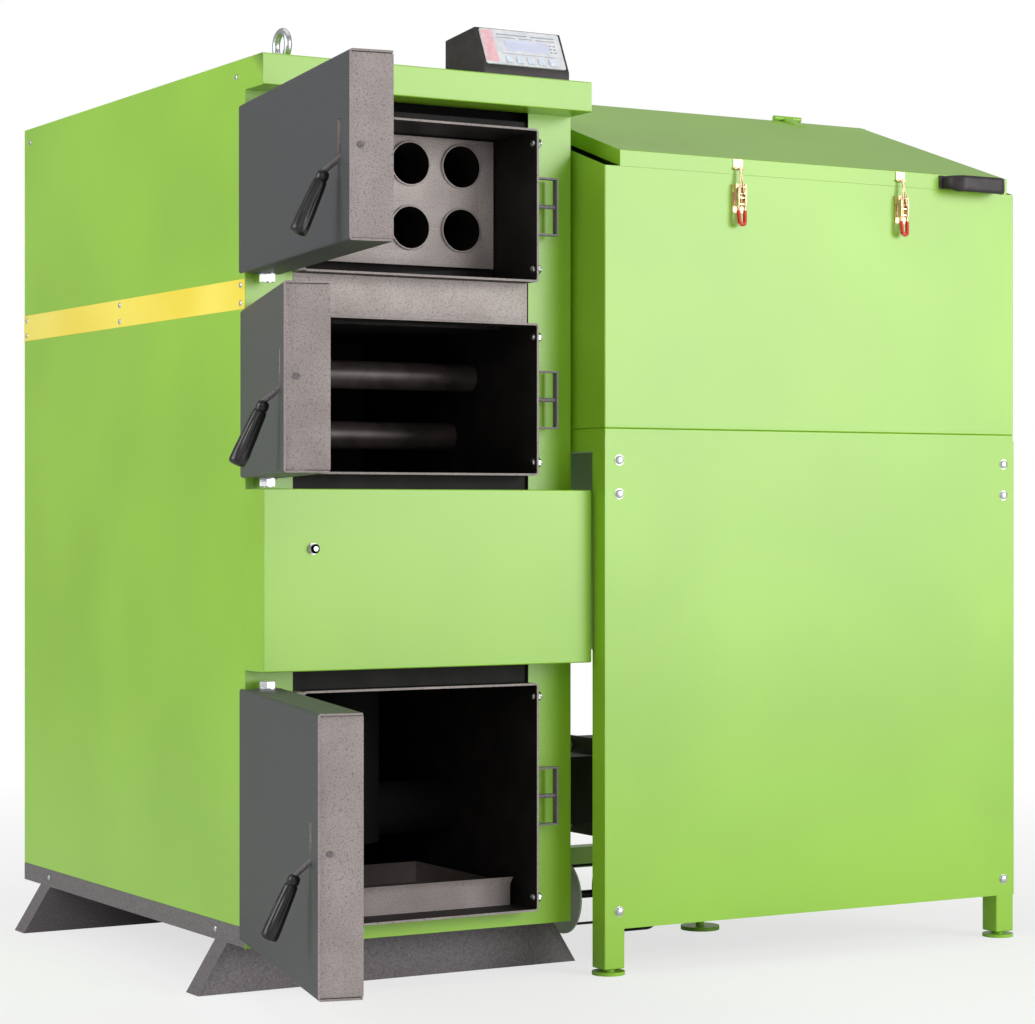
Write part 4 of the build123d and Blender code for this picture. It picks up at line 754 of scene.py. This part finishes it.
class BOILER_OT_doors(bpy.types.Operator):
    """Dress the three doors, their linings and rope seals."""

    bl_idname = "boiler.doors"
    bl_label = "Doors"

    def execute(self, context):
        sizes = context.scene.boiler_sizes
        for name in DOORS:
            origin, along, inward, up = door_axes(name)

            def shell_pick(middle, normal, along=along):
                return 1 if abs(normal.dot(along)) > 0.9 else 0

            dressed(f"{name}_door_shell", f"{name}_door_steel", f"{name}_door",
                    ["graphite_powder_coat", "speckled_primer"], 0.001, shell_pick)
            coat(f"{name}_door_lining", "vermiculite")
            self.rope(name, sizes.rope_width / MM)
        coat("hinge_bolts", "zinc_plate")
        return {"FINISHED"}

    def rope(self, name, width):
        """Square braided rope laid in the door's groove, joined at its lower edge."""
        low, high = 72.0, 620.0
        floor = DOOR_LAPS[name]
        ceiling = floor + FRAME_HEIGHTS[name]
        inset = 2.25
        low, high = low + inset, high - inset
        floor, ceiling = floor + inset, ceiling - inset
        corners = [(low, floor), (high, floor), (high, ceiling), (low, ceiling)]
        ease = 9.0
        path = []
        for k, (u, w) in enumerate(corners):
            before, after = Vector(corners[k - 1]), Vector(corners[(k + 1) % 4])
            here = Vector((u, w))
            a = here + (before - here).normalized() * ease
            b = here + (after - here).normalized() * ease
            path += bend(a, here, b, 4)
            run = (after - b).length - ease
            path += [b + (after - b).normalized() * (3.0 * i) for i in range(1, int(run // 3))]
        shape = bmesh.new()
        rings = []
        sides = 16
        middle_v = -12.3 - width / 2
        count = len(path)
        for i, point in enumerate(path):
            way = (path[(i + 1) % count] - path[i - 1]).normalized()
            out = Vector((way.y, -way.x))
            ring = []
            for k in range(sides):
                angle = 2 * pi * k / sides
                square = (abs(cos(angle)) ** 4 + abs(sin(angle)) ** 4) ** -0.25
                weave = cos(2 * angle + 0.9 * i) * cos(2 * angle - 0.9 * i)
                size = width / 2 * (square * 0.965 - 0.035 * weave)
                spot = point + out * (cos(angle) * size)
                ring.append(shape.verts.new(in_door(name, spot.x, middle_v + sin(angle) * size, spot.y) * MM))
            rings.append(ring)
        skinned(shape, rings, True)
        rope = own(shape, f"{name}_rope", ["glass_rope"], f"{name}_door", 80.0)
        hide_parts(f"{name}_door_seal")


class BOILER_OT_latches(bpy.types.Operator):
    """Make the doors' fluted handles and dress their levers."""

    bl_idname = "boiler.latches"
    bl_label = "Door latches"

    def execute(self, context):
        flutes = context.scene.boiler_sizes.flutes
        for name in DOORS:
            coat(f"{name}_latch_lever", "casing_graphite")
            pivot = FRAME_HEIGHTS[name] / 2 + DOOR_LAPS[name]
            start_at = in_door(name, GRIP_ALONG, GRIP_FRONT, pivot - GRIP_DROP)
            lean = radians(GRIP_LEAN)
            tip = in_door(name, GRIP_ALONG, GRIP_FRONT - sin(lean), pivot - GRIP_DROP - cos(lean))
            way = tip - start_at
            shape = bmesh.new()
            turned(shape, GRIP_PROFILE, start_at, way, 48, (flutes, 26, 110, 1.2))
            handle = own(shape, f"{name}_grip", ["black_bakelite"], f"{name}_latch", 40.0)
            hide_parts(f"{name}_latch_handle")
        return {"FINISHED"}


class BOILER_OT_fasteners(bpy.types.Operator):
    """Grow the screws, rivets, bolts and nuts."""

    bl_idname = "boiler.fasteners"
    bl_label = "Fasteners"

    def execute(self, context):
        sizes = context.scene.boiler_sizes
        zinc = finish("zinc_plate")
        spots = []
        for side in (-1, 1):
            for y, z in ((FRONT + 41, TOP - 33), (BACK - 40, TOP - 33), (FRONT + 142, BASE + 21),
                         (BACK - 160, BASE + 21)):
                spots.append(((side * RIGHT, y, z), (side, 0, 0)))
        for y in (FRONT + 18, FRONT + 644.5, BACK - 18):
            for z in (STRIPE_Z[0] + 12, STRIPE_Z[1] - 12):
                spots.append(((LEFT - 1.0, y, z), (-1, 0, 0)))
        screws = fasteners("casing_screw_set", "boiler", spots, Sides=28, Head_Radius=sizes.screw_radius,
                           Head_Height=0.0008, Washer_Radius=0.0, Washer_Thickness=0.0, Dome=0.0021,
                           Finish=zinc)
        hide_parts("casing_screws")
        nuts = []
        heads = []
        for name in DOORS:
            low = FRAME_LOWS[name]
            for z in (low + 28, low + FRAME_HEIGHTS[name] - 28):
                nuts.append(((274.0, FRONT - 30, z), (1, 0, 0)))
                heads.append(((269.5, FRONT - 30, z), (-1, 0, 0)))
        nuts.append(((LEFT + 109, FRONT - COVER_PROUD, BASE + 795), (0, -1, 0)))
        nut_set = fasteners("frame_nut_set", "boiler", nuts, Sides=6, Head_Radius=sizes.nut_radius,
                            Head_Height=0.0078, Washer_Radius=0.0115, Washer_Thickness=0.0016,
                            Thread_Radius=0.005, Thread_Length=0.0135, Finish=zinc)
        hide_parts("frame_bolts")
        fasteners("frame_head_set", "boiler", heads, Sides=28, Head_Radius=0.008, Head_Height=0.002,
                  Washer_Thickness=0.0, Dome=0.004, Finish=zinc)
        buttons = []
        for x in (HOPPER_X0 + 35, HOPPER_X1 - 31):
            for z in (BASE + 977, BASE + 906, BASE + 31):
                buttons.append(((x, HOPPER_Y0 - 1.5, z), (0, -1, 0)))
        button_set = fasteners("hopper_button_set", "boiler", buttons, Sides=28,
                               Head_Radius=sizes.button_radius, Head_Height=0.002, Washer_Radius=0.0112,
                               Washer_Thickness=0.001, Dome=0.0034, Finish=zinc)
        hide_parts("hopper_bolts")
        flange = []
        for side in (-1, 1):
            for z in (BASE + 154, BASE + 332):
                flange.append(((FLANGE_X, FEED_Y + side * 87, z), (-1, 0, 0)))
        fasteners("flange_nut_set", "boiler", flange, Sides=6, Head_Radius=0.0104, Head_Height=0.0085,
                  Washer_Radius=0.0125, Washer_Thickness=0.0016, Thread_Radius=0.005, Thread_Length=0.0116,
                  Finish=zinc)
        return {"FINISHED"}


class BOILER_OT_hopper(bpy.types.Operator):
    """Dress the hopper, its lid, handle and toggle latches."""

    bl_idname = "boiler.hopper"
    bl_label = "Hopper"

    def execute(self, context):
        fold = context.scene.boiler_sizes.fold
        for node, name in (("hopper_stand", "stand_frame"), ("hopper_bin", "fuel_bin"),
                           ("hopper_front_panel", "front_sheet")):
            dressed(node, name, "boiler", ["green_powder_coat"], fold)
        dressed("hopper_lid", "fuel_lid", "lid", ["green_powder_coat"], fold)
        for node in ("lid_hinges", "levelling_feet"):
            coat(node, "green_powder_coat")
        for node in ("toggle_bases", "latch_strikes", "left_toggle_lever", "right_toggle_lever",
                     "left_toggle_bail", "right_toggle_bail"):
            coat(node, "yellow_zinc")
        self.bow()
        for side, x in TOGGLES.items():
            self.sleeve(side, x)
        return {"FINISHED"}

    def bow(self):
        """Deep moulded bow handle whose grip drops below the lid's edge."""
        x0, x1 = HOPPER_X0 + 903, HOPPER_X0 + 1048
        y = HOPPER_Y0
        low = RIM_Z + 1.0
        path = eased([(x0, y, 0), (x0 + 1, y - 26, 0), (x0 + 16, y - 44, 0), (x1 - 16, y - 44, 0),
                      (x1 - 1, y - 26, 0), (x1, y, 0)], 9.0, 6)
        shape = bmesh.new()
        rings = []
        count = len(path)
        sides = 24
        for i, point in enumerate(path):
            way = (path[min(i + 1, count - 1)] - path[max(i - 1, 0)]).normalized()
            out = Vector((way.y, -way.x, 0))
            droop = 9.0 * max(0.0, min(1.0, (y - 14 - point.y) / 22))
            bottom = low + 2 - droop
            height = RIM_Z + 30 - bottom
            ring = []
            for k in range(sides):
                angle = 2 * pi * k / sides
                square = (abs(cos(angle)) ** 5 + abs(sin(angle)) ** 5) ** -0.2
                spot = Vector((point.x, point.y, bottom + height / 2))
                spot += out * (cos(angle) * square * 8.0) + Vector((0, 0, sin(angle) * square * height / 2))
                spot.y = min(spot.y, y)
                ring.append(shape.verts.new(spot * MM))
            rings.append(ring)
        skinned(shape, rings)
        for x in (x0, x1):
            slab(shape, (x - 15, y - 5, RIM_Z + 2), (x + 15, y, RIM_Z + 32), 2.0)
        bmesh.ops.recalc_face_normals(shape, faces=shape.faces)
        handle = own(shape, "lid_bow", ["moulded_nylon"], "lid", 50.0)
        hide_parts("lid_handle")

    def sleeve(self, side, x):
        """Red sleeve on a latch's loop, and the rungs and rails of its lever."""
        y_bail = HOPPER_Y0 - 14.0
        z_pin = RIM_Z - 27.0
        low = z_pin - 81.0
        shape = bmesh.new()
        loop = eased([(x - 8.2, y_bail - 1.2, z_pin - 52), (x - 6.4, y_bail - 4, low),
                      (x + 6.4, y_bail - 4, low), (x + 8.2, y_bail - 1.2, z_pin - 52)], 5.5, 6)
        swept(shape, loop, 4.4, 16)
        own(shape, f"{side}_sleeve", ["red_vinyl"], f"{side}_toggle", 50.0)
        shape = bmesh.new()
        for z in (z_pin - 24, z_pin - 38):
            slab(shape, (x - 9, y_bail - 3, z - 2.2), (x + 9, y_bail + 0.5, z + 2.2), 0.7)
        for reach in (-1, 1):
            rail = x + reach * 9
            slab(shape, (rail - 1.6, y_bail - 5, z_pin - 42), (rail + 1.6, y_bail - 3.4, z_pin - 4), 0.5)
        own(shape, f"{side}_rungs", ["yellow_zinc"], f"{side}_toggle")


class BOILER_OT_controller(bpy.types.Operator):
    """Dress the controller: housing, overlay, display and keys."""

    bl_idname = "boiler.controller"
    bl_label = "Controller"

    def execute(self, context):
        dressed("controller_case", "control_housing", "boiler", ["moulded_abs"], 0.002, reach=0.01)
        coat("controller_face", "overlay_film")
        for number in range(1, 6):
            coat(f"controller_button_{number}", "button_plastic")
        x0, y0, z0 = 133.0, FRONT - 60.0, TOP + 20.0
        rise = Vector((0, 40, 85)).normalized()
        out = Vector((0, -85, 40)).normalized()
        turn = Matrix.Translation(Vector((x0, y0, z0))) @ Matrix((
            (1, 0, 0, 0), (0, rise.y, out.y, 0), (0, rise.z, out.z, 0), (0, 0, 0, 1)))
        top = 3.0
        shape = bmesh.new()
        slab(shape, (9.5, 9, top), (38, 87, top + 0.5), 0.2, turn)
        own(shape, "overlay_rose_band", ["overlay_band"], "boiler")
        shape = bmesh.new()
        slab(shape, (62, 40, top), (166, 66, top + 0.9), 0.4, turn)
        own(shape, "display_window", ["display_glass"], "boiler")
        shape = bmesh.new()
        for low, high in (((46, 70), (90, 71.6)), ((100, 70), (130, 71.6)), ((140, 70), (186, 71.6)),
                          ((46, 77), (120, 79.4)), ((130, 77), (186, 79.4)), ((50, 31), (186, 31.8))):
            slab(shape, (low[0], low[1], top), (high[0], high[1], top + 0.4), 0.0, turn)
        for u in (172, 182):
            for v in (42, 50, 58):
                slab(shape, (u - 3, v, top), (u + 3, v + 3, top + 0.4), 0.0, turn)
        own(shape, "overlay_lines", ["overlay_ink"], "boiler")
        return {"FINISHED"}


class BOILER_OT_feeder(bpy.types.Operator):
    """Dress the feeder, its motor and the fan."""

    bl_idname = "boiler.feeder"
    bl_label = "Feeder and fan"

    def execute(self, context):
        sizes = context.scene.boiler_sizes
        for node in ("auger_tube", "gear_motor", "fan_housing"):
            coat(node, "black_enamel")
        for node in ("auger_screw", "fan_impeller"):
            coat(node, "tube_steel")
        shape = bmesh.new()
        turned(shape, [(0, 20), (0.01, 83), (0.4, 84.6), (4.2, 84.6), (4.6, 83), (4.61, 20)],
               Vector((NOISE_DISC_X, FEED_Y, BASE)), Vector((1, 0, 0)), 64)
        own(shape, "noise_disc", ["pale_plastic"], "boiler")
        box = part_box("gear_motor")
        grown("motor_ribs", rib_tree(), "boiler", Count=sizes.rib_count,
              Ring_Radius=0.0695, Rib_Length=0.115, Rib_Height=0.007, Rib_Thickness=0.0022,
              Centre=(box[1].x - 0.1025, FEED_Y * MM, FEED_Z * MM), Finish=finish("black_enamel"))
        return {"FINISHED"}


class BOILER_OT_stage(bpy.types.Operator):
    """Set the floor, the soft lights and the camera."""

    bl_idname = "boiler.stage"
    bl_label = "Stage"

    def execute(self, context):
        scene = context.scene
        stage = scene.boiler_stage
        scene.view_settings.view_transform = "Standard"
        shape = bmesh.new()
        bmesh.ops.create_grid(shape, x_segments=1, y_segments=1, size=30.0)
        bmesh.ops.translate(shape, verts=shape.verts, vec=(0, 0, -0.0005))
        own(shape, "paper_floor", ["paper_floor"], None)
        self.world(scene, stage)
        for lamp in LAMPS:
            self.lamp(*lamp)
        camera = bpy.data.objects.new("camera", bpy.data.cameras.new("camera"))
        camera.data.sensor_width = 36.0
        camera.data.lens = stage.lens
        camera.data.shift_y = 0.0019
        camera.location = (-2.7437, -5.2019, 0.9669)
        camera.rotation_euler = (pi / 2, 0.0, -stage.turn)
        scene.collection.objects.link(camera)
        scene.camera = camera
        return {"FINISHED"}

    def world(self, scene, stage):
        """Grey room for the light, white to the camera and in reflections."""
        world = bpy.data.worlds.new("studio")
        world.use_nodes = True
        scene.world = world
        tree = world.node_tree
        room = tree.nodes["Background"]
        room.inputs["Color"].default_value = (1.0, 1.0, 1.0, 1.0)
        room.inputs["Strength"].default_value = stage.world_light
        white = add(tree, "ShaderNodeBackground", {"Color": (1.0, 1.0, 1.0, 1.0), "Strength": 1.0})
        rays = add(tree, "ShaderNodeLightPath")
        through = add(tree, "ShaderNodeMath", None, {0: rays.outputs["Is Camera Ray"],
                      1: rays.outputs["Is Transmission Ray"]}, operation="MAXIMUM")
        gloss = add(tree, "ShaderNodeMath", {1: GLOSSY_SHARE}, {0: rays.outputs["Is Glossy Ray"]},
                    operation="MULTIPLY")
        share = add(tree, "ShaderNodeMath", None, {0: through.outputs[0], 1: gloss.outputs[0]},
                    operation="MAXIMUM")
        both = add(tree, "ShaderNodeMixShader", None, {0: share.outputs[0], 1: room.outputs[0],
                   2: white.outputs[0]})
        tree.links.new(both.outputs[0], tree.nodes["World Output"].inputs["Surface"])

    def lamp(self, name, place, aim, width, height, power):
        """One rectangular softbox."""
        light = bpy.data.lights.new(name, "AREA")
        light.shape = "RECTANGLE"
        light.size = width
        light.size_y = height
        light.energy = power
        lamp = bpy.data.objects.new(name, light)
        lamp.location = place
        lamp.rotation_euler = (Vector(aim) - Vector(place)).to_track_quat("-Z", "Y").to_euler()
        bpy.context.scene.collection.objects.link(lamp)


OPERATORS = (BOILER_OT_casing, BOILER_OT_steelwork, BOILER_OT_doors, BOILER_OT_latches, BOILER_OT_fasteners,
             BOILER_OT_hopper, BOILER_OT_controller, BOILER_OT_feeder, BOILER_OT_stage)


class BOILER_PT_panel(bpy.types.Panel):
    """The boiler's steps and settings."""

    bl_idname = "BOILER_PT_panel"
    bl_label = "Pellet boiler"
    bl_space_type = "VIEW_3D"
    bl_region_type = "UI"
    bl_category = "Boiler"

    def draw(self, context):
        for operator in OPERATORS:
            self.layout.operator(operator.bl_idname)
        for group in (context.scene.boiler_colours, context.scene.boiler_sizes, context.scene.boiler_stage):
            for key in group.__annotations__:
                self.layout.prop(group, key)


GROUPS = (BoilerColours, BoilerSizes, BoilerStage)


def register():
    for item in GROUPS + OPERATORS + (BOILER_PT_panel,):
        bpy.utils.register_class(item)
    bpy.types.Scene.boiler_colours = PointerProperty(type=BoilerColours)
    bpy.types.Scene.boiler_sizes = PointerProperty(type=BoilerSizes)
    bpy.types.Scene.boiler_stage = PointerProperty(type=BoilerStage)


def unregister():
    del bpy.types.Scene.boiler_stage
    del bpy.types.Scene.boiler_sizes
    del bpy.types.Scene.boiler_colours
    for item in reversed(GROUPS + OPERATORS + (BOILER_PT_panel,)):
        bpy.utils.unregister_class(item)


def main():
    """Run every step in order."""
    register()
    for operator in OPERATORS:
        getattr(bpy.ops.boiler, operator.bl_idname.split(".")[1])()


if __name__ == "__main__":
    main()
